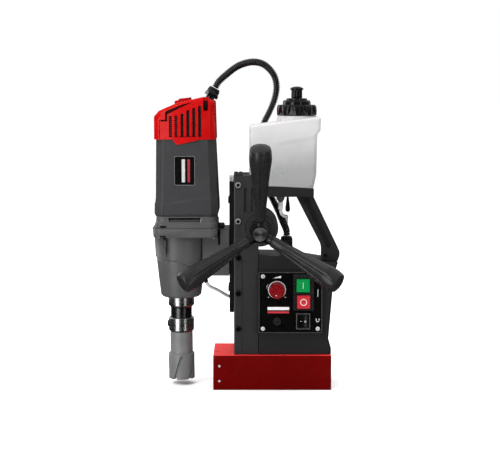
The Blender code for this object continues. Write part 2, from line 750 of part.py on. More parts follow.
def make_motor_cap():
    side = [
        (-161.8, 349.8),
        (-77.9, 349.8),
        (-79.5, 401),
        (-88, 406.5),
        (-95.6, 407),
        (-131, 399),
        (-155, 388.6),
        (-161.8, 381),
    ]
    outer = rounded([(x * MM, z * MM) for x, z in side], 2 * MM, 2)
    depth = MOTOR_HALF_DEPTH - 0.5 * MM
    body = add("motor_cap", prism(outer, "Y", -depth, depth), "red_plastic")
    inner = [(-158.8, 349), (-81, 349), (-82.5, 398), (-95, 403.5), (-131, 395.5), (-158.8, 379.5)]
    inner = [(x * MM, z * MM) for x, z in inner]
    cut(body, prism(inner, "Y", -depth + WALL, depth - WALL))
    slot_half = 1.5 * MM
    slot_bottom = 353 * MM
    slots = [(-138, 381), (-131, 384), (-123.5, 387), (-115.6, 391), (-108, 394), (-99.7, 397)]
    for x, top in slots:
        low = (x * MM - slot_half, -depth - 1 * MM, slot_bottom)
        high = (x * MM + slot_half, depth + 1 * MM, top * MM)
        cut(body, block(low, high))
    lean = Vector((math.cos(MOTOR_GLAND_LEAN), 0, math.sin(MOTOR_GLAND_LEAN)))
    cut(body, rod(6.3 * MM, -12 * MM, 6 * MM, MOTOR_GLAND_BASE, lean, 20))


# ---------------------------------------------------------------- spindle and cutter


def make_spindle():
    spindle = (SPINDLE_X, 0, 0)
    profile = [
        (0, 104 * MM),
        (SHAFT_RADIUS, 104 * MM),
        (SHAFT_RADIUS, 112 * MM),
        (NOSE_RADIUS - 2 * MM, 112 * MM),
        (NOSE_RADIUS, 114 * MM),
        (NOSE_RADIUS, CASE_BOTTOM - RUN),
        (SPINDLE_RADIUS, CASE_BOTTOM - RUN),
        (SPINDLE_RADIUS, 214 * MM),
        (0, 214 * MM),
    ]
    add("spindle", turned(profile, spindle, UP, 32), "bright_steel", spindle)
    bottom, top = 77.3 * MM, 111.7 * MM
    sleeve = [
        (9.8 * MM, bottom),
        (17 * MM, bottom),
        (18.5 * MM, bottom + 1.5 * MM),
        (18.5 * MM, 94.5 * MM),
        (17 * MM, 96 * MM),
        (15.5 * MM, 96 * MM),
        (15.5 * MM, top),
        (9.8 * MM, top),
    ]
    add("chuck", turned(sleeve, spindle, UP, 32), "bright_steel", spindle)


def cutter_ring(z, twist, teeth, radius, gullet):
    """One section of the cutter's head, with a shallow flute in front of each tooth."""
    points = []
    for tooth in range(teeth):
        start = twist + tooth * 2 * math.pi / teeth
        step = 2 * math.pi / teeth
        for share, depth in ((0, 0), (0.3, 0), (0.6, 0), (0.66, 1), (0.9, 1)):
            angle = start + share * step
            reach = radius - depth * gullet
            points.append((SPINDLE_X + reach * math.cos(angle), reach * math.sin(angle), z))
    return points


def make_cutter():
    spindle = (SPINDLE_X, 0, 0)
    head_top, body_radius, head_radius = 45 * MM, 16.3 * MM, 18.7 * MM
    shank = [
        (0, head_top - 4 * MM),
        (body_radius, head_top - 4 * MM),
        (body_radius, 77 * MM),
        (9.5 * MM, 77 * MM),
        (9.5 * MM, 102 * MM),
        (0, 102 * MM),
    ]
    body = add("cutter", turned(shank, spindle), "satin_steel", spindle)
    teeth, lead = 5, math.radians(35)
    rings = []
    for share in np.linspace(0, 1, 4):
        z = CUTTER_TIP + (head_top - CUTTER_TIP) * float(share)
        rings.append(cutter_ring(z, float(share) * lead, teeth, head_radius, 2.2 * MM))
    join(body, loft(rings))
    cut(
        body,
        rod(14 * MM, CUTTER_TIP - 1 * MM, 62 * MM, spindle),
        rod(3.3 * MM, 60 * MM, 104 * MM, spindle, UP, 16),
    )
    pin = [(0, 13 * MM), (3 * MM, 17 * MM), (3 * MM, 98 * MM), (0, 98 * MM)]
    add("pilot_pin", turned(pin, spindle, UP, 16), "bright_steel", spindle)


# ---------------------------------------------------------------- electronics housing


def housing_outline(inset):
    left, bottom, top = HOUSING_LEFT / MM, HOUSING_BOTTOM / MM, 188.5
    points = [
        (left + inset, bottom + inset),
        (82.6 - inset, bottom + inset),
        (82.6 - inset, 57),
        (78.8 - inset, 71),
        (83.9 - inset, 136.4),
        (88.3 - inset, 168.8),
        (91.2 - inset, 178.4 - inset),
        (70, 180.2 - inset),
        (46.8, 184 - inset),
        (20, 188 - inset),
        (left + inset, top - inset),
    ]
    return [(x * MM, z * MM) for x, z in points]


def make_housing():
    body = add("housing", prism(housing_outline(0), "Y", HOUSING_FRONT, HOUSING_BACK), "charcoal_plastic")
    bezel_back = HOUSING_FRONT + 0.15 * MM
    outer = rounded(rectangle((-22 * MM, 78 * MM), (71 * MM, 168 * MM)), 4 * MM)
    inner = rounded(
        rectangle((PANEL_X[0] - GAP, PANEL_Z[0] - GAP), (PANEL_X[1] + GAP, PANEL_Z[1] + GAP)), 0.3 * MM
    )
    join(body, ring_prism(outer, inner, "Y", PANEL_FRONT - 0.7 * MM, bezel_back))
    opening_low = (-12 * MM, HOUSING_FRONT - 1 * MM, 84 * MM)
    opening_high = (62 * MM, HOUSING_FRONT + WALL + 1 * MM, 164.4 * MM)
    cut(
        body,
        prism(housing_outline(WALL / MM), "Y", HOUSING_FRONT + WALL, HOUSING_BACK + 1 * MM),
        block(opening_low, opening_high),
        rod(6.3 * MM, 182 * MM, 200 * MM, (*FRAME_GLAND, 0), UP, 20),
    )
    cover = prism(housing_outline(0), "Y", HOUSING_BACK + GAP, HOUSING_BACK + WALL)
    rear = add("housing_rear_cover", cover, "charcoal_plastic")
    cut(rear, rod(6.3 * MM, 25 * MM, 40 * MM, (60 * MM, 0, 75 * MM), BACK, 20))
    nut = HOUSING_BACK + WALL + GAP
    gland = [
        (3.5 * MM, 24 * MM),
        (6 * MM, 24 * MM),
        (6 * MM, nut),
        (10 * MM, nut),
        (10 * MM, nut + 6 * MM),
        (7.5 * MM, nut + 14 * MM),
        (3.5 * MM, nut + 14 * MM),
    ]
    inlet = (60 * MM, 0, 75 * MM)
    add("mains_gland", turned(gland, inlet, BACK, 16), "black_plastic", inlet)


def make_panel():
    low = (PANEL_X[0], PANEL_FRONT, PANEL_Z[0])
    high = (PANEL_X[1], PANEL_BACK, PANEL_Z[1])
    body = add("control_panel", block(low, high), "gloss_black")
    through = (PANEL_FRONT - 1 * MM, PANEL_BACK + 1 * MM)
    cut(
        body,
        block(
            (SWITCH_X[0] + 2 * MM, through[0], SWITCH_Z[0] + 2 * MM),
            (SWITCH_X[1] - 2 * MM, through[1], SWITCH_Z[1] - 2 * MM),
        ),
        block(
            (ROCKER_X[0] + 1 * MM, through[0], ROCKER_Z[0] + 1 * MM),
            (ROCKER_X[1] - 1 * MM, through[1], ROCKER_Z[1] - 1 * MM),
        ),
        rod(4.8 * MM, *through, (KNOB_CENTRE[0], 0, KNOB_CENTRE[1]), BACK, 16),
        rod(5.3 * MM, *through, (FUSE_CENTRE[0], 0, FUSE_CENTRE[1]), BACK, 16),
    )
    board = block((-10 * MM, 8 * MM, 84 * MM), (70 * MM, 10 * MM, 160 * MM))
    add("circuit_board", board, "board_green")


def button_room(centre, front, clearance):
    half = BUTTON_HALF + clearance
    x, z = centre
    return block((x - half, front, z - half), (x + half, front + BUTTON_DEPTH + 3 * MM, z + half))


def make_switches():
    plate_front, plate_back = -38.8 * MM, PANEL_FRONT - GAP
    switch = block((SWITCH_X[0], plate_front, SWITCH_Z[0]), (SWITCH_X[1], plate_back, SWITCH_Z[1]))
    body = add("start_stop_switch", switch, "black_plastic")
    inset = 2 * MM + GAP
    low = (SWITCH_X[0] + inset, plate_back - 0.5 * MM, SWITCH_Z[0] + inset)
    high = (SWITCH_X[1] - inset, -6 * MM, SWITCH_Z[1] - inset)
    join(body, block(low, high))
    for centre in (START_CENTRE, STOP_CENTRE):
        cut(body, button_room(centre, plate_front - 1 * MM, GAP))
    for name, centre, front, finish in (
        ("start_button", START_CENTRE, -40.6 * MM, "green_plastic"),
        ("stop_button", STOP_CENTRE, -42.4 * MM, "button_red"),
    ):
        x, z = centre
        half = BUTTON_HALF
        low = (x - half, front, z - half)
        high = (x + half, front + BUTTON_DEPTH, z + half)
        add(name, block(low, high, bevel=0.5 * MM), finish, (x, front, z))


def make_rocker():
    front, back = -38 * MM, PANEL_FRONT - GAP
    bezel = block((ROCKER_X[0], front, ROCKER_Z[0]), (ROCKER_X[1], back, ROCKER_Z[1]))
    body = add("rocker_bezel", bezel, "black_plastic")
    inset = 1 * MM + GAP
    low = (ROCKER_X[0] + inset, back - 0.5 * MM, ROCKER_Z[0] + inset)
    high = (ROCKER_X[1] - inset, -14 * MM, ROCKER_Z[1] - inset)
    join(body, block(low, high))
    room_low = (ROCKER_X[0] + 2 * MM, front - 1 * MM, ROCKER_Z[0] + 2.6 * MM)
    room_high = (ROCKER_X[1] - 2 * MM, -22 * MM, ROCKER_Z[1] - 2.6 * MM)
    cut(body, block(room_low, room_high))
    middle = ((ROCKER_X[0] + ROCKER_X[1]) / 2, -34 * MM, (ROCKER_Z[0] + ROCKER_Z[1]) / 2)
    outline = [(-7, -5.2), (0, -4), (7, -5.2), (6.8, 1), (2, 6), (-2, 6), (-6.8, 1)]
    outline = [(middle[0] + x * MM, middle[1] + y * MM) for x, y in outline]
    half = (room_high[2] - room_low[2]) / 2 - GAP
    rocker = prism(outline, "Z", middle[2] - half, middle[2] + half)
    tilt = Matrix.Rotation(math.radians(-8), 4, "Z")
    bmesh.ops.rotate(rocker, verts=rocker.verts, cent=middle, matrix=tilt.to_3x3())
    add("magnet_rocker", rocker, "gloss_black", middle)


def make_knob_and_fuse():
    x, z = KNOB_CENTRE
    centre = (x, 0, z)
    shaft = [
        (0, -45 * MM),
        (3 * MM, -45 * MM),
        (3 * MM, PANEL_FRONT - 0.5 * MM),
        (4.5 * MM, PANEL_FRONT - 0.5 * MM),
        (4.5 * MM, PANEL_BACK + GAP),
        (8 * MM, PANEL_BACK + GAP),
        (8 * MM, -22 * MM),
        (0, -22 * MM),
    ]
    add("speed_potentiometer", turned(shaft, centre, BACK, 20), "satin_steel", centre)
    knob = [
        (0, -50.5 * MM),
        (10.4 * MM, -50.5 * MM),
        (11.4 * MM, -49 * MM),
        (12 * MM, -39 * MM),
        (12.6 * MM, -38.5 * MM),
        (12.6 * MM, -37 * MM),
        (3.3 * MM, -37 * MM),
        (3.3 * MM, -45.5 * MM),
        (0, -45.5 * MM),
    ]
    add("speed_knob", turned(knob, centre, BACK, 24), "red_plastic", centre)
    x, z = FUSE_CENTRE
    centre = (x, 0, z)
    fuse = [
        (0, -40 * MM),
        (5.4 * MM, -40 * MM),
        (6 * MM, -39.4 * MM),
        (6 * MM, PANEL_FRONT - GAP),
        (5 * MM, PANEL_FRONT - GAP),
        (5 * MM, -12 * MM),
        (0, -12 * MM),
    ]
    add("fuse_holder", turned(fuse, centre, BACK, 20), "gloss_black", centre)


# ---------------------------------------------------------------- coolant bottle and frame


def make_arm_and_tray():
    head = TRAY_BOTTOM / MM - 0.3
    outline = [(70.1, 180.6), (91.4, 178.9), (95.3, 190.9), (57, head), (33, head), (70.2, 197.8)]
    outline = [(x * MM, z * MM) for x, z in outline]
    add("carry_arm", prism(outline, "Y", -20 * MM, 20 * MM), "black_paint")
    left = COLUMN_RIGHT + GAP
    outline = [(left, TRAY_BOTTOM), (TRAY_RIGHT, TRAY_BOTTOM), (TRAY_RIGHT, TRAY_TOP_RIGHT), (left, TRAY_TOP)]
    tray = add("bottle_tray", prism(outline, "Y", -33 * MM, 33 * MM), "black_paint")
    cut(tray, rod(7 * MM, TRAY_BOTTOM - 1 * MM, TRAY_TOP + 1 * MM, (TAP_X, TAP_Y, 0), UP, 20))


def bottle_side(inset):
    """The bottle seen from the front; its lower left corner is notched over the column."""
    low = TRAY_TOP / MM + 0.3
    low_right = TRAY_TOP_RIGHT / MM + 0.3
    notch = COLUMN_TOP / MM + 0.3
    points = [
        (-18.6 + inset, low + inset),
        (56.5 - inset, low_right + inset),
        (60.6 - inset, 297.5),
        (61.7 - inset, 350),
        (66.4 - inset, 357),
        (66.4 - inset, 376 - inset),
        (63 - inset, 380 - inset),
        (5, 376 - inset),
        (-30 + inset, 369 - inset),
        (-32 + inset, 366 - inset),
        (-32 + inset, notch + inset),
        (-18.6 + inset, notch + inset),
    ]
    return [(x * MM, z * MM) for x, z in points]


def make_bottle():
    body = add("bottle", prism(bottle_side(0), "Y", -33 * MM, 33 * MM), "milky_plastic")
    neck = (CAP_X, 0, 0)
    join(body, rod(22 * MM, NECK_BOTTOM, 392 * MM, neck))
    cut(
        body,
        prism(bottle_side(2), "Y", -31 * MM, 31 * MM),
        rod(19.5 * MM, NECK_BOTTOM - 2 * MM, 393 * MM, neck),
        rod(2.6 * MM, TRAY_TOP_RIGHT, TRAY_TOP + 4 * MM, (TAP_X, TAP_Y, 0), UP, 12),
    )
    cap = [
        (22.6 * MM, 382 * MM),
        (28.3 * MM, 382 * MM),
        (28.3 * MM, 395.5 * MM),
        (26.5 * MM, 397 * MM),
        (20 * MM, 397 * MM),
        (18 * MM, 403 * MM),
        (8 * MM, 404 * MM),
        (5 * MM, 405 * MM),
        (5 * MM, 416 * MM),
        (2 * MM, 416 * MM),
        (2 * MM, 392.5 * MM),
        (22.6 * MM, 392.5 * MM),
    ]
    add("bottle_cap", turned(cap, neck), "gloss_black", neck)
    nozzle = [
        (5.35 * MM, 405.5 * MM),
        (8 * MM, 405.5 * MM),
        (8 * MM, 413 * MM),
        (9.3 * MM, 414.5 * MM),
        (9.3 * MM, 419.5 * MM),
        (7.5 * MM, 421.5 * MM),
        (1.5 * MM, 421.5 * MM),
        (1.5 * MM, 418 * MM),
        (5.35 * MM, 418 * MM),
    ]
    add("bottle_nozzle", turned(nozzle, neck, UP, 20), "gloss_black", neck)


def make_tap():
    centre = (TAP_X, TAP_Y, 0)
    profile = [
        (1.8 * MM, 259 * MM),
        (4.5 * MM, 259 * MM),
        (6.5 * MM, 261 * MM),
        (6.5 * MM, 269 * MM),
        (6.5 * MM, TRAY_TOP - 2 * MM),
        (2.3 * MM, TRAY_TOP - 2 * MM),
        (2.3 * MM, TRAY_TOP + 6 * MM),
        (1.2 * MM, TRAY_TOP + 6 * MM),
        (1.2 * MM, 275 * MM),
        (1.8 * MM, 274 * MM),
    ]
    add("tap_body", turned(profile, centre, UP, 20), "clear_plastic", centre)
    pivot = (LEVER_X, TAP_Y, LEVER_Z)
    lever = [(-3, 4.5), (3, 4.5), (3.2, -12), (2.2, -15.4), (0, -16.5), (-2.2, -15.4), (-3.2, -12)]
    outline = [(TAP_Y + y * MM, LEVER_Z + z * MM) for y, z in lever]
    add("tap_lever", prism(outline, "X", LEVER_X, LEVER_X + LEVER_THICKNESS), "black_plastic", pivot)


# ---------------------------------------------------------------- conduit and coolant tube


CONDUIT_ROUTE = [
    (-79.2, 0, 420),
    (-74.6, 0.8, 428),
    (-65, 4, 437),
    (-51, 10, 448),
    (-38.6, 17, 453.6),
    (-26, 24, 455.8),
    (-13.5, 30.5, 453.4),
    (-3.4, 35.5, 446),
    (4, 39, 435.3),
    (6.8, 41, 422.7),
    (5.8, 42, 411),
    (2.3, 42, 398.4),
    (-4, 42, 384),
    (-11.3, 42, 369),
    (-17, 42, 348),
    (-18.5, 42, 325),
    (-16.5, 42, 303),
    (-11, 41.5, 284),
    (0.5, 38.5, 262.5),
    (8.5, 32.5, 247),
    (15, 24, 232),
    (20.8, 12.4, 219),
    (21, 12, 211.9),
]

TUBE_ROUTE = [
    (11.5, -15, 258.5),
    (11.5, -15, 252),
    (12.6, -12.5, 246),
    (15.7, -3, 241.5),
    (19, 9, 239),
    (21.2, 22, 237.5),
    (21.5, 33, 233),
    (21.5, 41, 222),
    (21, 46, 205),
    (19.5, 49, 185),
    (15, 49.5, 163),
    (6, 49.5, 145),
    (-6, 49.3, 131.5),
    (-20, 49, 122),
    (-34, 47, 116.5),
    (-48, 40, 115.5),
    (-61.4, 29.5, 120.5),
    (-76, 14.5, 131.5),
    (-83, 7.5, 136.2),
    (-87, 4, 138.9),
    (-90.3, 1.1, 141.9),
    (-92.5, 0, 146.3),
]


def make_conduit():
    hose("conduit", CONDUIT_ROUTE, CONDUIT_RADIUS, 10 * MM, "rubber")
    lean = Vector((math.cos(MOTOR_GLAND_LEAN), 0, math.sin(MOTOR_GLAND_LEAN)))
    nut = [
        (3.5 * MM, -8 * MM),
        (6 * MM, -8 * MM),
        (6 * MM, 1.8 * MM),
        (8.75 * MM, 1.8 * MM),
        (8.75 * MM, 12 * MM),
        (7 * MM, 15 * MM),
        (3.5 * MM, 15 * MM),
    ]
    add("conduit_gland_motor", turned(nut, MOTOR_GLAND_BASE, lean, 16), "black_plastic")
    base = 188.9 * MM
    gland = [
        (3.5 * MM, 180 * MM),
        (6 * MM, 180 * MM),
        (6 * MM, base),
        (8.75 * MM, base),
        (8.75 * MM, 207 * MM),
        (7.6 * MM, FRAME_GLAND_TOP),
        (3.5 * MM, FRAME_GLAND_TOP),
    ]
    add("conduit_gland_frame", turned(gland, (*FRAME_GLAND, 0), UP, 16), "black_plastic")


def make_coolant_tube():
    hose("coolant_tube", TUBE_ROUTE, TUBE_RADIUS, TUBE_SPACING, "clear_plastic")
    towards = Vector((-4, -2, 8)).normalized()
    end = Vector(TUBE_ROUTE[-1]) * MM
    profile = [(1.2 * MM, 0.4 * MM), (3 * MM, 0.4 * MM), (3 * MM, 3 * MM), (1.2 * MM, 3 * MM)]
    add("coolant_inlet", turned(profile, end, towards, 16), "bronze", end)


def main():
    clear_scene()
    make_magnet()
    make_column()
    make_gib()
    make_feed()
    make_hub()
    make_handles()
    make_ram()
    make_rack()
    make_bracket()
    make_gear_case()
    make_gear_case_cover()
    make_motor_housing()
    make_motor_inside()
    make_gears()
    make_motor_cap()
    make_spindle()
    make_cutter()
    make_housing()
    make_panel()
    make_switches()
    make_rocker()
    make_knob_and_fuse()
    make_arm_and_tray()
    make_bottle()
    make_tap()
    make_conduit()
    make_coolant_tube()


main()
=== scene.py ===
"""The looks of the magnetic drill press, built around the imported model.

Shapes are drawn in millimetres in the model's own frame and scaled as they become objects.
The panel and the feed handles face -Y, and the spindle is on the -X side.
"""

import math

import bmesh
import bpy
import numpy as np
from mathutils import Matrix, Vector


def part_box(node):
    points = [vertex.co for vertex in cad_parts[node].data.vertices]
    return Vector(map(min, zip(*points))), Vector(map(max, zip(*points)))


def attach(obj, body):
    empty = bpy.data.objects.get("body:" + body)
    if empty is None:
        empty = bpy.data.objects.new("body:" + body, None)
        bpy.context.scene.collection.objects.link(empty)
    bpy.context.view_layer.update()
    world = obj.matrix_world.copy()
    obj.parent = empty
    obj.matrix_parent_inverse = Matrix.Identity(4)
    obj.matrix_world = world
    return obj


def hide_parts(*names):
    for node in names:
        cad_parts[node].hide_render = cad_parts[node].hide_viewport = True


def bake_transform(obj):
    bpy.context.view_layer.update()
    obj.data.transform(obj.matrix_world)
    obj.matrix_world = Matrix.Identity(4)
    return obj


MM = 0.001
UP = Vector((0, 0, 1))
RIGHT = Vector((1, 0, 0))
BACK = Vector((0, 1, 0))
FRONT = Vector((0, -1, 0))
ROUND = 96  # steps round a large turned piece
SMALL_ROUND = 40
WAIST = 1.9  # how far the bottle's lower part stands back
MOTOR_STEP = 0.55  # how far the motor's lower part stands proud
BEVEL_ANGLE = 30  # edges that turn by more degrees than this are rounded
FACING = 0.9  # how nearly a face has to point along an axis to count as facing it
BOTTLE_HALF = 33.0  # half of the bottle's depth
BOTTLE_CORNER = 6.0
BOTTLE_WALL = 2.0
FOOT_LEFT = -18.6  # the bottle's foot, beside the column
FOOT_RIGHT = 56.5
FOOT_BOTTOM = 286.3

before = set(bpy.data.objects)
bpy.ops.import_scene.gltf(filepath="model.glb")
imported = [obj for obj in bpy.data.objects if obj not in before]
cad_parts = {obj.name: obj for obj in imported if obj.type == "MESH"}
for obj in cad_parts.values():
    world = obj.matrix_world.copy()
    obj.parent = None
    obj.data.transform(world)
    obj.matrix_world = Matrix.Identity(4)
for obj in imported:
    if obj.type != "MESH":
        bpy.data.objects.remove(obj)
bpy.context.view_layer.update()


def span(node):
    """The lowest and the highest corner of a node of the model, in millimetres."""
    low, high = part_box(node)
    return Vector(low) / MM, Vector(high) / MM


def middle(node):
    low, high = span(node)
    return (low + high) / 2


# ---------------------------------------------------------------- shapes


def block(low, high):
    bm = bmesh.new()
    size = Vector(high) - Vector(low)
    place = Matrix.Translation((Vector(high) + Vector(low)) / 2) @ Matrix.Diagonal((*size, 1))
    bmesh.ops.create_cube(bm, size=1, matrix=place)
    return bm


def loft(rings):
    """A closed solid through rings of equally many points."""
    bm = bmesh.new()
    rows = [[bm.verts.new(point) for point in ring] for ring in rings]
    for low, high in zip(rows, rows[1:]):
        for i in range(len(low)):
            j = (i + 1) % len(low)
            bm.faces.new((low[i], low[j], high[j], high[i]))
    bm.faces.new(rows[0][::-1])
    bm.faces.new(rows[-1])
    return bm


def prism(outline, axis, start, end):
    spread = {
        "X": lambda u, v, along: (along, u, v),
        "Y": lambda u, v, along: (u, along, v),
        "Z": lambda u, v, along: (u, v, along),
    }[axis]
    return loft([[spread(u, v, along) for u, v in outline] for along in (start, end)])


def across(outline, first, second):
    """A prism along Y between two depths, given in either order."""
    return prism(outline, "Y", *sorted((first, second)))


def turned(profile, centre, axis=UP, steps=ROUND):
    """A solid of revolution; the profile holds (radius, distance along the axis) pairs."""
    bm = bmesh.new()
    verts = [bm.verts.new((radius, 0, along)) for radius, along in profile]
    pairs = list(zip(verts, verts[1:]))
    if profile[0][0] or profile[-1][0]:
        pairs.append((verts[-1], verts[0]))
    edges = [bm.edges.new(pair) for pair in pairs]
    bmesh.ops.spin(
        bm, geom=verts + edges, cent=(0, 0, 0), axis=UP, angle=2 * math.pi, steps=steps, use_merge=True
    )
    bmesh.ops.remove_doubles(bm, verts=bm.verts, dist=0.001)
    turn = UP.rotation_difference(Vector(axis)).to_matrix().to_4x4()
    bmesh.ops.transform(bm, matrix=Matrix.Translation(centre) @ turn, verts=bm.verts)
    return bm


def rod(radius, start, end, centre, axis=UP, steps=SMALL_ROUND):
    return turned([(0, start), (radius, start), (radius, end), (0, end)], centre, axis, steps)


def tube(outer, inner, start, end, centre, axis=UP, steps=ROUND):
    return turned([(inner, start), (outer, start), (outer, end), (inner, end)], centre, axis, steps)


def rounded(outline, radius, steps=5):
    """The outline with its corners rounded; radius is one number, or one for each corner."""
    points = [Vector(point) for point in outline]
    radii = [radius] * len(points) if isinstance(radius, (int, float)) else radius
    result = []
    for k, corner in enumerate(points):
        into = (points[k - 1] - corner).normalized()
        out = (points[(k + 1) % len(points)] - corner).normalized()
        half = into.angle(out) / 2
        if half > math.radians(88) or radii[k] == 0:
            result.append(corner)
            continue
        reach = radii[k] / math.tan(half)
        start, end = corner + into * reach, corner + out * reach
        centre = corner + (into + out).normalized() * radii[k] / math.sin(half)
        for step in range(steps + 1):
            mix = (start - centre).lerp(end - centre, step / steps)
            result.append(centre + mix.normalized() * radii[k])
    return [tuple(point) for point in result]


def shrunk(outline, amounts):
    """The outline with each side, from its corner to the next one, moved inwards by its amount."""
    points = [Vector(point) for point in outline]
    sides = list(zip(points, points[1:] + points[:1]))
    area = sum(a.x * b.y - b.x * a.y for a, b in sides)
    lines = []
    for (a, b), amount in zip(sides, amounts):
        way = (b - a).normalized()
        inwards = Vector((-way.y, way.x)) * math.copysign(1, area)
        lines.append((a + inwards * amount, way))
    result = []
    for k, (start, way) in enumerate(lines):
        before, other = lines[k - 1]
        share = (start - before).cross(other) / other.cross(way)
        result.append(tuple(start + way * share))
    return result


def rectangle(low, high):
    return [(low[0], low[1]), (high[0], low[1]), (high[0], high[1]), (low[0], high[1])]


def slab(left, bottom, right, top, first, second, radius=0):
    """A plate seen from the front, between two depths along Y, with rounded corners if it has a radius."""
    outline = rectangle((left, bottom), (right, top))
    return across(rounded(outline, radius) if radius else outline, first, second)


def softened(profile, radius):
    """A turned profile with rounded corners; its two ends stay where they are."""
    radii = [0] + [radius] * (len(profile) - 2) + [0]
    return rounded(profile, radii, 3)


def wavy(radius, depth, waves, steps, sharpness=1.0):
    """A circle whose edge rises and falls, for grips and knurls."""
    points = []
    for i in range(steps):
        angle = 2 * math.pi * i / steps
        swing = abs(math.cos(angle * waves / 2)) ** sharpness
        reach = radius - depth * (1 - swing)
        points.append((reach * math.cos(angle), reach * math.sin(angle)))
    return points


def ring_of(reach_at, z, count, centre=(0, 0)):
    """A closed ring of points at one height; reach_at gives the radius at an angle."""
    ring = []
    for i in range(count):
        angle = 2 * math.pi * i / count
        reach = reach_at(angle)
        ring.append((centre[0] + reach * math.cos(angle), centre[1] + reach * math.sin(angle), z))
    return ring


def placed(bm, centre, axis=UP, twist=0.0):
    """Turns a shape drawn about the Z axis so that it stands at centre along another axis."""
    turn = UP.rotation_difference(Vector(axis)).to_matrix().to_4x4()
    place = Matrix.Translation(centre) @ turn @ Matrix.Rotation(twist, 4, "Z")
    bmesh.ops.transform(bm, matrix=place, verts=bm.verts)
    return bm


def hexagon(across_flats, start, end, centre, axis=UP, twist=0.0):
    reach = across_flats / math.sqrt(3)
    corners = [(reach * math.cos(i * math.pi / 3), reach * math.sin(i * math.pi / 3)) for i in range(6)]
    return placed(prism(corners, "Z", start, end), centre, axis, twist)


def temporary(bm):
    bmesh.ops.recalc_face_normals(bm, faces=bm.faces)
    mesh = bpy.data.meshes.new("temporary")
    bm.to_mesh(mesh)
    bm.free()
    made = bpy.data.objects.new("temporary", mesh)
    bpy.context.scene.collection.objects.link(made)
    return made


def evaluated(obj):
    """The object's mesh with its modifiers worked in."""
    graph = bpy.context.evaluated_depsgraph_get()
    return bpy.data.meshes.new_from_object(obj.evaluated_get(graph))


def combined(base, changes):
    """The base with each (operation, shape) of changes worked in, in order."""
    target = temporary(base)
    helpers = []
    for operation, shape in changes:
        helper = temporary(shape)
        helpers.append(helper)
        modifier = target.modifiers.new(operation, "BOOLEAN")
        modifier.operation = operation
        modifier.solver = "EXACT"
        modifier.object = helper
        helper.hide_render = True
    mesh = evaluated(target)
    bm = bmesh.new()
    bm.from_mesh(mesh)
    for item in [target, *helpers]:
        bpy.data.objects.remove(item, do_unlink=True)
    return bm


def less(base, *shapes):
    return combined(base, [("DIFFERENCE", shape) for shape in shapes])


def plus(base, *shapes):
    return combined(base, [("UNION", shape) for shape in shapes])


def cad_shape(node):
    """A node's own shape with its flat faces made whole again, in millimetres."""
    bm = bmesh.new()
    bm.from_mesh(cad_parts[node].data)
    bmesh.ops.scale(bm, vec=(1 / MM, 1 / MM, 1 / MM), verts=bm.verts)
    bmesh.ops.remove_doubles(bm, verts=bm.verts, dist=0.002)
    bmesh.ops.dissolve_limit(
        bm, angle_limit=math.radians(0.6), use_dissolve_boundaries=False, verts=bm.verts, edges=bm.edges
    )
    return bm


def merged(*shapes):
    """Separate solids that share one object."""
    bm = bmesh.new()
    for shape in shapes:
        mesh = bpy.data.meshes.new("shape")
        bmesh.ops.recalc_face_normals(shape, faces=shape.faces)
        shape.to_mesh(mesh)
        shape.free()
        bm.from_mesh(mesh)
        bpy.data.meshes.remove(mesh)
    return bm


def piece(name, bm, finish, body, bevel=0.0, segments=2, replaces=(), angle=35):
    """Makes a visible piece from a shape, rounds its edges and sets it to ride on its body."""
    bmesh.ops.recalc_face_normals(bm, faces=bm.faces)
    if bm.calc_volume(signed=True) < 0:
        bmesh.ops.reverse_faces(bm, faces=bm.faces)
    bmesh.ops.scale(bm, vec=(MM, MM, MM), verts=bm.verts)
    mesh = bpy.data.meshes.new(name)
    bm.to_mesh(mesh)
    bm.free()
    mesh.shade_smooth()
    made = bpy.data.objects.new(name, mesh)
    bpy.context.scene.collection.objects.link(made)
    if bevel:
        edge = made.modifiers.new("Bevel", "BEVEL")
        edge.width = bevel * MM
        edge.segments = segments
        edge.limit_method = "ANGLE"
        edge.angle_limit = math.radians(BEVEL_ANGLE)
        edge.miter_outer = "MITER_ARC"
        weigh = made.modifiers.new("Normals", "WEIGHTED_NORMAL")
        weigh.keep_sharp = True
        made.data = evaluated(made)
        made.modifiers.clear()
        made.data.name = name
    else:
        made.data.set_sharp_from_angle(angle=math.radians(angle))
    made.data.materials.clear()
    made.data.materials.append(finish)
    if body:
        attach(made, body)
    if replaces:
        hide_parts(*replaces)
    return made


def dress(node, finish):
    """Gives a node that stays as it is a finished material."""
    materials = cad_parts[node].data.materials
    materials.clear()
    materials.append(finish)
    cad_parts[node].data.shade_smooth()
    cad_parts[node].data.set_sharp_from_angle(angle=math.radians(32))


# ---------------------------------------------------------------- materials


def add_node(tree, kind, **inputs):
    """A shader node with its inputs set or linked; i0 is the first input, and From_Min is "From Min"."""
    made = tree.nodes.new("ShaderNode" + kind)
    for socket, value in inputs.items():
        target = made.inputs[int(socket[1:]) if socket[1:].isdigit() else socket.replace("_", " ")]
        if isinstance(value, bpy.types.NodeSocket):
            tree.links.new(value, target)
        else:
            target.default_value = value
    return made


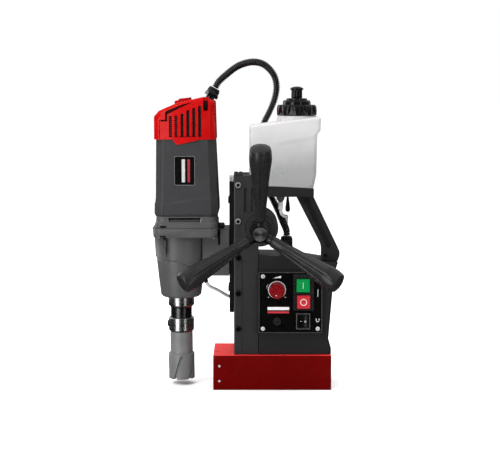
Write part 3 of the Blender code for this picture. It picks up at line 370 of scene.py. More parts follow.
class Finish:
    """A Principled material and the small textures that feed it."""

    def __init__(self, name, colour, roughness, metallic=0.0, **values):
        self.material = bpy.data.materials.new(name)
        self.material.use_nodes = True
        self.tree = self.material.node_tree
        self.shader = self.tree.nodes["Principled BSDF"]
        self.colour = (*colour, 1)
        self.shader.inputs["Base Color"].default_value = self.colour
        self.shader.inputs["Roughness"].default_value = roughness
        self.shader.inputs["Metallic"].default_value = metallic
        for socket, value in values.items():
            self.shader.inputs[socket.replace("_", " ").title().replace("Ior", "IOR")].default_value = value
        coordinates = self.tree.nodes.new("ShaderNodeTexCoord")
        self.place = coordinates.outputs["Object"]

    def node(self, kind, **inputs):
        return add_node(self.tree, kind, **inputs)

    def stretched(self, x, y, z):
        mapping = self.node("Mapping", Vector=self.place, Scale=(x, y, z))
        return mapping.outputs["Vector"]

    def rings(self, centre, axis):
        """Coordinates of a turned surface: distance from the axis, then distance along it."""
        shifted = self.node("VectorMath", i0=self.place, i1=tuple(Vector(centre) * MM))
        shifted.operation = "SUBTRACT"
        parts = self.node("SeparateXYZ", Vector=shifted.outputs[0])
        along = {"X": 0, "Y": 1, "Z": 2}[axis]
        across = [parts.outputs[k] for k in range(3) if k != along]
        flat = self.node("CombineXYZ", X=across[0], Y=across[1])
        length = self.node("VectorMath", i0=flat.outputs[0])
        length.operation = "LENGTH"
        pair = self.node("CombineXYZ", X=length.outputs["Value"], Y=parts.outputs[along])
        return pair.outputs[0]

    def noise(self, scale, detail=3.0, vector=None):
        made = self.node("TexNoise", Vector=vector or self.place, Scale=scale, Detail=detail, Roughness=0.55)
        return made.outputs["Fac"]

    def cells(self, scale):
        made = self.node("TexVoronoi", Vector=self.place, Scale=scale)
        return made.outputs["Distance"]

    def ranged(self, value, low, high, to_low=0.0, to_high=1.0):
        made = self.node("MapRange", Value=value, From_Min=low, From_Max=high, To_Min=to_low, To_Max=to_high)
        return made.outputs["Result"]

    def times(self, first, second):
        made = self.node("Math", i0=first, i1=second)
        made.operation = "MULTIPLY"
        return made.outputs[0]

    def edges(self, radius, low=0.01, high=0.18):
        """1 along the edges and 0 on the flats."""
        bevel = self.node("Bevel", Radius=radius * MM)
        bevel.samples = 4
        normal = self.node("NewGeometry")
        dot = self.node("VectorMath", i0=bevel.outputs["Normal"], i1=normal.outputs["Normal"])
        dot.operation = "DOT_PRODUCT"
        return self.ranged(dot.outputs["Value"], 1 - low, 1 - high)

    def tint(self, factor, colour):
        """Mixes another colour over what the base colour is so far."""
        mix = self.tree.nodes.new("ShaderNodeMix")
        mix.data_type = "RGBA"
        target = self.shader.inputs["Base Color"]
        # the two colours of a colour mix, and its factor
        first, second, fac = mix.inputs[6], mix.inputs[7], mix.inputs[0]
        if target.links:
            self.tree.links.new(target.links[0].from_socket, first)
        else:
            first.default_value = self.colour
        second.default_value = (*colour, 1)
        self.tree.links.new(factor, fac)
        self.tree.links.new(mix.outputs[2], target)
        return self

    def rough(self, value):
        self.tree.links.new(value, self.shader.inputs["Roughness"])
        return self

    def bump(self, height, distance):
        """Adds a bump of this depth in millimetres to what is there."""
        made = self.node("Bump", Strength=1.0, Distance=distance * MM, Height=height)
        target = self.shader.inputs["Normal"]
        if target.links:
            self.tree.links.new(target.links[0].from_socket, made.inputs["Normal"])
        self.tree.links.new(made.outputs["Normal"], target)
        return self


def grey(level):
    return (level, level, level)


def shade(colour, factor):
    return tuple(min(1.0, channel * factor) for channel in colour)


def moulded(name, colour, roughness, grain=900, depth=0.05, wear=0.35, crown=None, **values):
    """Moulded plastic with a fine leathery grain, rubbed smoother and paler along its edges.

    A crown is the X of the middle of a face that swells gently, and how much it swells.
    """
    made = Finish(name, colour, roughness, **values)
    if crown:
        across = made.node("SeparateXYZ", Vector=made.place).outputs["X"]
        shift = made.node("Math", i0=across, i1=-crown[0] * MM).outputs[0]
        made.bump(made.times(made.times(shift, shift), -crown[1]), 1000)
    grain_cells = made.cells(grain)
    clouds = made.noise(45, 4)
    edge = made.times(made.edges(0.8), made.ranged(made.noise(160, 4), 0.4, 0.62))
    made.tint(made.ranged(clouds, 0.35, 0.7, 0.0, 0.55), shade(colour, 0.75))
    made.tint(made.times(edge, made.ranged(clouds, 0.3, 0.6, wear * 0.5, wear)), shade(colour, 3.0))
    made.rough(made.ranged(made.noise(120, 5), 0.3, 0.7, roughness - 0.06, roughness + 0.08))
    made.bump(made.noise(grain * 1.7, 2), depth * 0.5)
    made.bump(grain_cells, depth)
    return made.material


def printed(name, colour):
    """Ink printed on plastic."""
    return moulded(name, colour, 0.4, grain=2000, depth=0.004, wear=0.1)


def enamelled(name, colour, roughness, wear_colour, wear=0.5, peel=0.03, **values):
    """Sprayed paint: a faint orange peel, uneven gloss, and bare or darker metal on worn edges."""
    made = Finish(name, colour, roughness, **values)
    clouds = made.noise(30, 5)
    made.tint(made.ranged(clouds, 0.35, 0.7, 0.0, 0.6), shade(colour, 0.78))
    chips = made.ranged(made.noise(420, 6), 0.52, 0.6)
    made.tint(made.times(made.edges(0.6, 0.02, 0.22),
                         made.times(chips, made.ranged(clouds, 0.4, 0.6, 0, wear))),
              wear_colour)
    made.rough(made.ranged(made.noise(85, 5), 0.3, 0.72, roughness - 0.05, roughness + 0.1))
    made.bump(made.noise(700, 2), peel)
    return made.material


def metal(name, colour, roughness, centre=None, axis="Z", lines=0.02, stretch=None, faced=False, **values):
    """Machined metal: cutting lines round a turned piece, or along a ground one, and light stains.

    A faced piece shows the crossed highlight of a lathe-cut end.
    """
    made = Finish(name, colour, roughness, **{"metallic": 1.0, **values})
    if faced:
        grain = made.node("Tangent")
        grain.direction_type = "RADIAL"
        grain.axis = axis
        made.tree.links.new(grain.outputs[0], made.shader.inputs["Tangent"])
        made.shader.inputs["Anisotropic"].default_value = 0.85
    vector = made.rings(centre, axis) if centre is not None else made.stretched(*(stretch or (60, 60, 1400)))
    scale = 2600 if centre is not None else 1
    cuts = made.noise(scale, 3, vector)
    stains = made.noise(55, 5)
    made.tint(made.ranged(stains, 0.42, 0.72, 0.0, 0.55), shade(colour, 0.62))
    made.tint(made.ranged(cuts, 0.45, 0.75, 0.0, 0.3), shade(colour, 1.25))
    made.rough(made.ranged(made.noise(scale * 0.6, 4, vector), 0.3, 0.7, roughness - 0.05, roughness + 0.09))
    made.bump(cuts, lines)
    return made.material


def milky(name):
    """Blow-moulded milky plastic, with its lower part painted darker as painted shade."""
    colour = grey(0.46)
    made = Finish(name, colour, 0.40, subsurface_weight=0.12, subsurface_scale=0.004)
    low, high = span("bottle")
    height = made.node("SeparateXYZ", Vector=made.place).outputs["Z"]
    wobble = made.noise(22, 3)
    slope = made.node("Math", i0=height, i1=made.ranged(wobble, 0, 1, -0.012, 0.012))
    level = low.z + 0.48 * (high.z - low.z)
    # The lower part of the bottle is painted darker: painted shade
    made.tint(made.ranged(slope.outputs[0], (level + 30) * MM, (level - 30) * MM, 0.0, 0.9), grey(0.235))
    made.tint(made.ranged(made.noise(14, 5), 0.45, 0.75, 0.0, 0.4), grey(0.52))
    made.rough(made.ranged(made.noise(90, 5), 0.3, 0.7, 0.36, 0.52))
    made.bump(made.noise(60, 4), 0.12)
    made.bump(made.noise(520, 2), 0.015)
    return made.material


def clear(name):
    """Clear hose gone a little cloudy."""
    made = Finish(name, grey(0.60), 0.3, transmission_weight=0.12, ior=1.1)
    made.tint(made.ranged(made.noise(140, 4), 0.45, 0.7, 0.0, 0.5), grey(0.52))
    made.rough(made.ranged(made.noise(300, 4), 0.35, 0.7, 0.08, 0.3))
    made.bump(made.noise(500, 3), 0.02)
    return made.material


def wound(name):
    """Enamelled copper wire, laid in turns."""
    made = Finish(name, (0.45, 0.16, 0.06), 0.32, 0.9)
    turns = made.node("TexWave", Vector=made.place, Scale=420.0, Distortion=0.6)
    made.tint(made.ranged(made.noise(90, 4), 0.4, 0.7, 0.0, 0.6), (0.2, 0.06, 0.02))
    made.rough(made.ranged(made.noise(250, 3), 0.3, 0.7, 0.25, 0.45))
    made.bump(turns.outputs["Fac"], 0.25)
    return made.material


def board(name):
    """Lacquered circuit board with copper tracks under the lacquer."""
    made = Finish(name, (0.01, 0.09, 0.03), 0.3, coat_weight=0.4)
    tracks = made.node("TexBrick", Vector=made.stretched(1, 1, 1), Scale=160.0)
    made.tint(made.ranged(tracks.outputs["Fac"], 0.2, 0.8, 0.0, 0.8), (0.02, 0.2, 0.06))
    made.tint(made.ranged(made.noise(220, 3), 0.45, 0.65, 0.0, 0.5), (0.005, 0.05, 0.02))
    made.rough(made.ranged(made.noise(120, 4), 0.3, 0.7, 0.25, 0.42))
    made.bump(tracks.outputs["Fac"], 0.04)
    return made.material


SPINDLE = middle("spindle")
FEED = middle("feed_shaft")
# the way that the motor's cable gland points
GLAND_LEAN = Vector((math.cos(math.radians(62)), 0, math.sin(math.radians(62))))
BLACK = (0.020, 0.020, 0.021)

# The magnet's red paint, darker on its sides; its top faces take a lighter copy of it below, painted light
# from above
red_enamel = enamelled("red_enamel", (0.105, 0.0004, 0.0003), 0.3, (0.05, 0.003, 0.003),
                       specular_ior_level=0.03)
lit_red_top = enamelled("lit_red_top", (0.80, 0.035, 0.035), 0.3, (0.3, 0.01, 0.01), specular_ior_level=0.1)
red_plastic = moulded("red_plastic", (0.38, 0.0008, 0.001), 0.22, depth=0.006, wear=0.0,
                      specular_ior_level=0.18,
                      crown=(-119, 4.2))
black_paint = enamelled("black_paint", BLACK, 0.36, grey(0.2), wear=0.4, specular_ior_level=0.4)
slide_paint = enamelled("slide_paint", grey(0.003), 0.4, grey(0.1), wear=0.3, specular_ior_level=0.3)
body_plastic = moulded("body_plastic", (0.026, 0.026, 0.028), 0.42, depth=0.05)
frame_plastic = moulded("frame_plastic", (0.0115, 0.0115, 0.012), 0.42, depth=0.04, specular_ior_level=0.35)
grey_paint = enamelled("grey_paint", (0.057, 0.057, 0.058), 0.40, grey(0.4), wear=0.6, peel=0.06)
bracket_paint = enamelled("bracket_paint", (0.048, 0.048, 0.049), 0.42, grey(0.35), wear=0.6, peel=0.06)
grip_plastic = moulded("grip_plastic", grey(0.013), 0.24, grain=1500, depth=0.001, wear=0.0,
                       specular_ior_level=0.4)
black_plastic = moulded("black_plastic", grey(0.012), 0.27, grain=1300, depth=0.015, wear=0.15)
gloss_black = moulded("gloss_black", grey(0.004), 0.09, grain=1500, depth=0.002, wear=0.0,
                      specular_ior_level=0.36)
panel_black = moulded("panel_black", grey(0.002), 0.28, grain=1900, depth=0.008, wear=0.1,
                      specular_ior_level=0.18)
rubber = moulded("rubber", grey(0.003), 0.14, grain=1500, depth=0.002, wear=0.0, specular_ior_level=1.0)
resin = moulded("resin", (0.02, 0.02, 0.024), 0.35, grain=300, depth=0.08)
polished_steel = metal("polished_steel", grey(0.55), 0.25, SPINDLE, "Z", lines=0.008)
neck_steel = metal("neck_steel", grey(0.10), 0.28, SPINDLE, "Z", lines=0.01)
cutter_steel = metal("cutter_steel", grey(0.195), 0.5, SPINDLE, "Z", lines=0.006, metallic=0.45)
hub_steel = metal("hub_steel", grey(0.30), 0.34, FEED, "Y", lines=0.02, faced=True)
bush_steel = metal("bush_steel", (0.022, 0.022, 0.023), 0.38, FEED, "Y", lines=0.02, metallic=0.2)
feed_steel = metal("feed_steel", (0.4, 0.4, 0.39), 0.3, FEED, "Y", lines=0.02)
ground_steel = metal("ground_steel", grey(0.42), 0.34, stretch=(25, 1500, 25), lines=0.02)
rack_steel = metal("rack_steel", (0.38, 0.38, 0.37), 0.36, stretch=(700, 30, 30), lines=0.02)
gear_steel = metal("gear_steel", (0.4, 0.4, 0.39), 0.33, stretch=(40, 40, 1100), lines=0.02)
screw_steel = metal("screw_steel", (0.72, 0.72, 0.71), 0.36, stretch=(500, 500, 500), lines=0.01,
                    metallic=0.35)
screw_grey = metal("screw_grey", grey(0.26), 0.4, stretch=(500, 500, 500), lines=0.01, metallic=0.35)
dark_screw = metal("dark_screw", grey(0.05), 0.36, stretch=(500, 500, 500), lines=0.01)
core_steel = metal("core_steel", (0.12, 0.12, 0.13), 0.45, stretch=(20, 20, 2600), lines=0.12)
bronze = metal("bronze", (0.5, 0.3, 0.12), 0.34, stretch=(300, 300, 300), lines=0.02)
copper = wound("copper")
board_green = board("board_green")
milky_plastic = milky("milky_plastic")
clear_plastic = clear("clear_plastic")
green_plastic = moulded("green_plastic", (0.001, 0.225, 0.05), 0.3, grain=1500, depth=0.01, wear=0.0,
                        specular_ior_level=0.05)
button_red = moulded("button_red", (0.42, 0.022, 0.032), 0.3, grain=1500, depth=0.01, wear=0.0,
                     specular_ior_level=0.05)
knob_red = moulded("knob_red", (0.16, 0.001, 0.003), 0.10, grain=420, depth=0.5, wear=0.0)
vent_red = moulded("vent_red", (0.10, 0.001, 0.001), 0.4, depth=0.01, wear=0.0)
shadow_red = moulded("shadow_red", (0.030, 0.0003, 0.0003), 0.5, depth=0.01, wear=0.0, specular_ior_level=0.1)
grey_print = printed("grey_print", grey(0.12))
faded_print = printed("faded_print", grey(0.42))
faded_red = printed("faded_red", (0.26, 0.006, 0.016))
white_print = printed("white_print", grey(0.75))
red_print = printed("red_print", (0.55, 0.01, 0.03))


# ---------------------------------------------------------------- small fittings


def socket_screw(name, centre, axis, body, finish, radius=4.0, height=2.4, socket=4.0, dome=0.3):
    """A cap screw whose head starts at centre and stands out along axis."""
    head = softened([(0, 0), (radius, 0), (radius, height), (0, height)], dome)
    shape = turned(head, centre, axis, SMALL_ROUND)
    shape = less(shape, hexagon(socket, height * 0.35, height + 1, centre, axis))
    return piece(name, shape, finish, body)


def cross_screw(name, centre, axis, body, finish, radius=3.2, height=1.6):
    """A pan-head screw with a cross in it."""
    dome = [(0, 0), (radius, 0), (radius, height * 0.4), (radius * 0.82, height * 0.8),
            (radius * 0.4, height),
            (0, height)]
    shape = turned(dome, centre, axis, SMALL_ROUND)
    bar, thin = radius * 0.66, radius * 0.17
    for twist in (math.radians(28), math.radians(118)):
        slot_shape = placed(block((-bar, -thin, height * 0.05), (bar, thin, height + 1)), centre, axis, twist)
        shape = less(shape, slot_shape)
    return piece(name, shape, finish, body)


def gland(name, node, centre, axis, body, hex_start, hex_end, end, radius):
    """A cable gland: a stem, a hexagon, and a ribbed dome nut that grips the hose."""
    bore, stem, nut_radius = 3.5, 6.0, radius * 0.98
    nut = placed(loft([
        [(x * scale, y * scale, z) for x, y in wavy(nut_radius, 0.45, 24, 192, 0.7)]
        for z, scale in ((hex_end - 0.05, 0.97), (hex_end + 0.8, 1.0), (end - 4.5, 1.0), (end - 1.2, 0.9),
                         (end, 0.78))
    ]), centre, axis)
    shape = plus(
        rod(stem, hex_start - 8.5, hex_start + 0.5, centre, axis),
        hexagon(radius * 1.9, hex_start, hex_end, centre, axis),
        nut,
    )
    shape = less(shape, rod(bore, hex_start - 12, end + 2, centre, axis))
    return piece(name, shape, gloss_black, body, bevel=0.25, replaces=[node])


# ---------------------------------------------------------------- magnet, column and slide


def make_magnet():
    low, high = span("magnet_body")
    resin_low, resin_high = span("magnet_resin")
    clearance = 0.3
    outer = rounded(rectangle((resin_low.x - clearance, resin_low.y - clearance),
                              (resin_high.x + clearance, resin_high.y + clearance)), 6.0)
    pole_half = (44.0, 8.5)
    inner = rounded(rectangle((-pole_half[0], -pole_half[1]), pole_half), 3.0)
    pocket = less(prism(outer, "Z", -1, span("magnet_coil")[1].z + clearance), prism(inner, "Z", -2, 50))
    screws = [(low.x + 8.7, 33.9), (low.x + 8.6, 12.5)]
    holes = [rod(1.9, -2.2, 2, (x, low.y, z), BACK, 32) for x, z in screws]
    shape = less(block(low, high), pocket, *holes)
    shell = piece("magnet_shell", shape, red_enamel, "stand", bevel=1.3, segments=3,
                  replaces=["magnet_body"])
    shell.data.materials.append(ground_steel)
    for face in shell.data.polygons:
        if face.normal.z < -FACING and face.center.z < 0.5 * MM:
            face.material_index = 1
    # Upward faces take the lighter copy of the red: painted light
    shell.data.materials.append(lit_red_top)
    for face in shell.data.polygons:
        if face.normal.z > FACING:
            face.material_index = 2
    for number, (x, z) in enumerate(screws, 1):
        socket_screw(f"magnet_screw_{number}", (x, low.y + 1.7, z), FRONT, "stand",
                     screw_steel,
                     radius=1.7, height=1.0, socket=1.5)
    dress("magnet_resin", resin)
    dress("magnet_coil", copper)


def make_column():
    low, high = span("column")
    shape = cad_shape("column")
    front = -33.0
    relief = slab(-39.4, 249, -34.8, 283.5, front - 1, front + 3.0, 2.2)
    second = slab(-29.4, 244, -27.4, 283.5, front - 1, front + 2.0, 0.9)
    seam = block((-42.3, front - 1, low.z + 3), (-41.4, front + 1.2, 183))
    seam_top = block((-53.0, front - 1, 182.4), (-41.4, front + 0.8, 183))
    shape = less(shape, relief, second, seam, seam_top)
    piece("column_casting", shape, black_paint, "stand", bevel=0.45, replaces=["column"])
    cap = prism(rounded(rectangle((low.x + 0.3, -32), (-40.7, -22)), 1.5), "Z", high.z + 0.1, high.z + 3.6)
    piece("column_top_stop", cap, black_paint, "stand", bevel=0.5)
    for number, x in enumerate((-50.3, -43.8), 1):
        socket_screw(f"top_stop_screw_{number}", (x, -27, high.z + 3.5), UP, "stand",
                     dark_screw,
                     radius=2.4, height=1.6, socket=2.5)


def make_gib():
    dress("gib_strip", bronze)
    for number in range(1, 6):
        node = f"gib_screw_{number}"
        centre = middle(node)
        # The upper two screws take a lighter steel than the lower three: painted light and shade on alike
        # screws
        finish = screw_grey if number < 3 else dark_screw
        face = -33.3
        tip = span(node)[1].y
        stem = tip - face
        profile = softened([(0, 0), (2.5, 0), (2.5, stem), (4.0, stem), (4.0, stem + 2.3), (3.2, stem + 2.9),
                            (0, stem + 2.9)], 0.15)
        start = Vector((centre.x, tip, centre.z))
        screw = less(turned(profile, start, FRONT, SMALL_ROUND),
                     hexagon(4.6, stem + 1.0, stem + 4, start, FRONT, 0.2 * number))
        piece(f"adjusting_screw_{number}", screw, finish, "stand", replaces=[node])
        # A black plate at the bottom of each socket: painted shade
        socket_shade = hexagon(4.5, stem + 0.9, stem + 1.6, start, FRONT, 0.2 * number)
        piece(f"adjusting_screw_shade_{number}", socket_shade, panel_black, "stand")


def make_slide():
    low, _ = span("ram_slide")
    piece("slide_rail", cad_shape("ram_slide"), slide_paint, "carriage", bevel=0.4,
          replaces=["ram_slide"])
    stop_low, stop_high = span("ram_stop")
    stop = less(
        block(stop_low, stop_high),
        hexagon(3.0, -1, 3, (stop_low.x, -6, middle("ram_stop").z), RIGHT),
        rod(1.7, -3, 3, (middle("ram_stop").x, stop_low.y, middle("ram_stop").z), BACK, 24),
    )
    piece("slide_stop", stop, screw_steel, "carriage", bevel=0.5, replaces=["ram_stop"])
    for number, z in enumerate((264.0, 139.5), 1):
        for side in (-1, 1):
            socket_screw(f"slide_bolt_{number}_{'front' if side < 0 else 'back'}",
                         (low.x + 0.05, side * 11, z),
                         -RIGHT, "carriage", dark_screw, radius=4.3, height=1.9, socket=4.0)
    dress("rack", rack_steel)


# ---------------------------------------------------------------- feed


def make_feed():
    dress("feed_bush_front", bush_steel)
    dress("feed_bush_rear", bush_steel)
    dress("feed_shaft", feed_steel)
    axis_point = Vector((FEED.x, 0, FEED.z))
    low, high = span("feed_hub")
    plane = low.y + 14
    profile = [
        (0, plane - 3.3), (9.3, plane - 3.3), (9.3, high.y), (13.4, high.y), (13.8, high.y - 2),
        (13.8, plane + 10), (12.4, plane + 4), (12.0, plane - 5), (10.6, plane - 10), (10.2, low.y + 1.6),
        (0, low.y + 1.6),
    ]
    shape = turned(softened(profile, 0.35), axis_point, BACK)
    centre = axis_point + BACK * plane
    reach = [direction_of(number) for number in (1, 2, 3)]
    shape = plus(shape, *[rod(6.6, 8, 20.4, centre, way) for way in reach])
    shape = less(shape, *[rod(4.3, 12.8, 40, centre, way) for way in reach])
    piece("hub", shape, dark_screw, "feed_wheel", bevel=0.3, replaces=["feed_hub"])
    disc = softened([(0, low.y + 1.8), (9.4, low.y + 1.8), (9.4, low.y + 0.5), (8.9, low.y), (0, low.y)],
                    0.15)
    piece("hub_end", turned(disc, axis_point, BACK), hub_steel, "feed_wheel")
    for number, way in enumerate(reach, 1):
        piece(f"handle_{number}", handle_shape(centre, way), grip_plastic, "feed_wheel",
              replaces=[f"feed_handle_{number}"], angle=50)


def direction_of(number):
    """The way that a handle points: one up and the others a third of a turn on, all leaning to the front."""
    tilt = math.radians(25)
    turn = math.radians((90, 210, 330)[number - 1])
    outward = Vector((math.cos(turn), 0, math.sin(turn)))
    return (outward * math.cos(tilt) - BACK * math.sin(tilt)).normalized()


def handle_shape(centre, way):
    """A tapered grip with eight shallow flutes that fade out at both ends, and a domed end."""
    stations = [(7.0, 21.4), (7.6, 22.0), (7.8, 39), (9.4, 55), (11.2, 81), (12.9, 96), (14.7, 109),
                (14.9, 113),
                (14.6, 120), (13.7, 126.0)]
    radii, along = zip(*stations)
    flute_start, flute_end, flutes, depth, sharpness = 34.0, 122.0, 8, 1.0, 10
    around = 240
    rings = []
    for z in np.linspace(along[0], along[-1], 44):
        radius = float(np.interp(z, along, radii))
        share = min(max((z - flute_start) / (flute_end - flute_start), 0), 1)
        dip = depth * min(1.0, 6 * share, 6 * (1 - share))
        rings.append(ring_of(lambda angle: radius - dip * max(0.0, math.cos(angle * flutes)) ** sharpness,
                             float(z), around))
    for radius, z in ((13.3, 127.1), (12.7, 127.9), (11.8, 128.5), (8.5, 129.8), (4.5, 130.9), (1.0, 131.6)):
        rings.append(ring_of(lambda angle: radius, z, around))
    return merged(placed(loft(rings), centre, way), rod(4.0, 13.2, 21.2, centre, way))


# ---------------------------------------------------------------- gear case, motor and cap


def body_loft(sections, corner_steps=8):
    rings = []
    for z, left, right, half_depth, corner in sections:
        plan = rounded(rectangle((left, -half_depth), (right, half_depth)), corner, corner_steps)
        rings.append([(x, y, z) for x, y in plan])
    return loft(rings)


def make_gear_case():
    low, high = span("gear_case")
    spindle = (SPINDLE.x, 0, 0)
    flange_bottom = high.z - 12.7
    shaft_x = middle("layshaft").x
    shape = body_loft([
        (flange_bottom, low.x + 1.6, high.x - 2, 43.6, 11),
        (flange_bottom + 1.2, low.x + 1, high.x - 1.4, 44.4, 11.5),
        (high.z, low.x, high.x, high.y, 12),
    ])
    cone = softened([(0, low.z), (26.3, low.z), (28.6, low.z + 2.6), (30.8, 149), (33.9, 178), (35.6, 206),
                     (35.9, flange_bottom + 1), (0, flange_bottom + 1)], 1.2)
    collar = softened([(0, 166), (33.2, 166), (35.5, 183.5), (36.8, 206), (36.98, flange_bottom + 1),
                       (0, flange_bottom + 1)], 1.0)
    below = [(-180, 160), (-70, 160), (-80, 165), (-100, 169.5), (-114, 174.9), (-134.8, 181.2),
             (-158.2, 183.9),
             (-180, 184.5)]
    boss = softened([(0, 176), (7, 177), (12, 185), (12, flange_bottom + 2), (0, flange_bottom + 2)], 2.5)
    shape = plus(
        shape,
        turned(cone, spindle),
        turned(boss, (shaft_x, 0, 0)),
        less(turned(collar, spindle), prism(below, "Y", -60, 60)),
        block((-150.6, -38.5, 190.5), (-147.6, -20, flange_bottom + 1)),
    )
    shape = less(
        shape,
        rod(19.5, 217.5, 229, (shaft_x, 0, 0)),
        rod(31.2, 193, 230, spindle, steps=ROUND),
        rod(8.5, 190, 231, (shaft_x, 0, 0)),
        rod(16.5, 176, 196, spindle),
        rod(9.5, 126, 178, spindle),
        block((-155, -50, flange_bottom - 4), (-146.6, -36.5, flange_bottom + 3.4)),
        block((-111, -50, 178), (-87.6, -37.2, flange_bottom - 0.2)),
    )
    piece("gear_housing", shape, grey_paint, "carriage", bevel=0.7,
          replaces=["gear_case"])
    ear_z = flange_bottom - 0.1
    for number, (x, y) in enumerate([(-157.5, -30), (-80, -34), (-157.5, 34), (-80, 34)], 1):
        socket_screw(f"case_screw_{number}", (x, y, ear_z), -UP, "carriage", gear_steel,
                     radius=2.3, height=2.0, socket=2.4)
    dress("spindle_bearing", gear_steel)


def make_cover():
    low, high = span("gear_case_cover")
    lip = low.z + 7
    shape = body_loft([
        (low.z, low.x, high.x, high.y, 12),
        (lip - 0.2, low.x, high.x, high.y, 12),
        (lip + 1.0, low.x + 1.1, high.x - 1.1, high.y - 1.4, 11.5),
        (high.z, low.x + 1.6, high.x - 1.5, high.y - 1.8, 11),
    ])
    slot = prism([(-143.3, lip + 7.4), (-97.2, lip + 7.4), (-98.4, lip + 1.6), (-141.4, lip + 2.2)], "Y", -50,
                 -38.5)
    back_slot = prism([(-143.3, lip + 7.4), (-97.2, lip + 7.4), (-98.4, lip + 1.6), (-141.4, lip + 2.2)],
                      "Y", 38.5, 50)
    small = slab(-154.5, low.z + 0.9, -145.4, low.z + 3.7, -50, -41.5, 1.2)
    shape = less(
        shape, slot, back_slot, small,
        rod(4.35, 226, 246, (middle("armature").x, 0, 0)),
        rod(3.3, 226, 236, (middle("layshaft").x, 0, 0)),
    )
    piece("gear_cover", shape, grey_paint, "carriage", bevel=0.45, replaces=["gear_case_cover"])
    # Black plates at the bottoms of the cover's slots: painted shade
    shade_plates = merged(*[
        prism([(-142.6, lip + 6.8), (-99.2, lip + 6.8), (-99.6, lip + 2.3), (-141.6, lip + 2.8)], "Y", *sides)
        for sides in ((-39.2, -38), (38, 39.2))
    ], slab(-154.2, low.z + 1.1, -145.7, low.z + 3.5, -43.2, -41.6, 1.0))
    piece("cover_slot_shade", shade_plates, panel_black, "carriage")
    ramps = merged(*[
        prism([(side * 39.0, lip + 2.4), (side * 42.0, lip + 2.4), (side * 42.0, lip + 2.9),
               (side * 39.0, lip + 5.2)],
              "X", -141.0, -99.9)
        for side in (-1, 1)
    ])
    piece("cover_slot_ramp", ramps, bracket_paint, "carriage", bevel=0.2)
    # A thin bright steel strip along the slot's slanted end: a painted highlight
    edge = prism([(-97.9, lip + 7), (-97.3, lip + 7), (-98.7, lip + 1.6), (-99.3, lip + 1.6)], "Y", -43.3,
                 -42.7)
    piece("cover_slot_highlight", edge, screw_steel, "carriage", bevel=0.1)


def make_bracket():
    piece("bracket", cad_shape("motor_bracket"), bracket_paint, "carriage", bevel=0.8,
          segments=3,
          replaces=["motor_bracket"])
    low, high = span("motor_bracket")
    # A black block in the gap between the flange's right end and the bracket: painted shade
    gap_shade_block = block((-75.6, low.y - 0.4, 203), (-72.4, high.y + 0.4, high.z - 0.1))
    piece("bracket_gap_shade", gap_shade_block, panel_black, "carriage", bevel=0.4)
    knob = placed(loft([[(x * scale, y * scale, z) for x, y in wavy(4.0, 0.5, 10, 120, 0.8)]
                        for z, scale in ((0, 0.86), (1.0, 1), (7.4, 1), (8.8, 0.8), (9.2, 0.4))]),
                  (-75.4, -14, high.z + 4.1), RIGHT)
    piece("lock_knob", knob, black_plastic, "carriage", bevel=0.3)


def chamfered(left, right, half_depth, corner):
    """A rectangle's outline with its corners cut off, further along X than along Y."""
    along, across = corner * 1.15, corner * 0.75
    return [
        (left + along, -half_depth), (right - along, -half_depth), (right, across - half_depth),
        (right, half_depth - across), (right - along, half_depth), (left + along, half_depth),
        (left, half_depth - across), (left, across - half_depth),
    ]


def motor_rings(sections):
    """The motor's shell as close rings; its lower part stands proud below a slanted crease."""
    levels = [section[0] for section in sections]
    rings = []
    for z in np.linspace(levels[0], levels[-1], 74):
        left, right, half_depth, corner = (float(np.interp(z, levels, [s[k] for s in sections])) for k in (1,
                                                                                                           2,
                                                                                                           3,
                                                                                                           4))
        plan = rounded(chamfered(left, right, half_depth, corner), 2.5, 4)
        ring = []
        for x, y in divided(plan, 4, 20):
            crease = 260.6 + (x + 154.0) * 11 / 71
            step = MOTOR_STEP * (1 - smooth((z - crease + 1.2) / 2.4))
            ring.append((x, y + math.copysign(step, y) * min(1.0, abs(y) / 20), float(z)))
        rings.append(ring)
    return loft(rings)


def smooth(share):
    share = min(max(share, 0.0), 1.0)
    return share * share * (3 - 2 * share)


def divided(outline, corner_steps, parts):
    """A rounded rectangle's outline with each straight side divided into equal parts."""
    result = []
    for k, ((x0, y0), (x1, y1)) in enumerate(zip(outline, outline[1:] + outline[:1])):
        count = parts if k % (corner_steps + 1) == corner_steps else 1
        result += [(x0 + (x1 - x0) * i / count, y0 + (y1 - y0) * i / count) for i in range(count)]
    return result


def make_motor():
    low, high = span("motor_housing")
    depth = high.y - MOTOR_STEP
    outer = motor_rings([
        (low.z, -160.6, -77.2, depth - 1.6, 8),
        (low.z + 1.4, -161.4, -75.6, depth - 0.5, 8),
        (249, -162.3, -74.3, depth, 8.5),
        (262, -162.1, -74.5, depth, 8.5),
        (265, -161.0, -74.9, depth - 0.1, 8.5),
        (272, -160.4, -75.2, depth - 0.2, 8.5),
        (high.z, -159.3, -79.0, depth - 1.0, 8.5),
    ])
    inner = body_loft([(low.z - 1, -156.8, -81.8, 40, 8), (high.z + 1, -156.3, -82, 40, 7)])
    badge = (-135.8, 285.6, -104.5, 329.0)
    badge_face = -depth + 0.75
    shape = less(outer, inner, slab(*badge, -60, badge_face, 3.0))
    piece("motor_shell", shape, body_plastic, "carriage", bevel=0.25,
          replaces=["motor_housing"])
    make_badge(badge, badge_face)
    dress("stator", core_steel)
    dress("armature", copper)
    dress("cooling_fan", black_plastic)
    dress("layshaft", gear_steel)
    dress("output_gear", gear_steel)


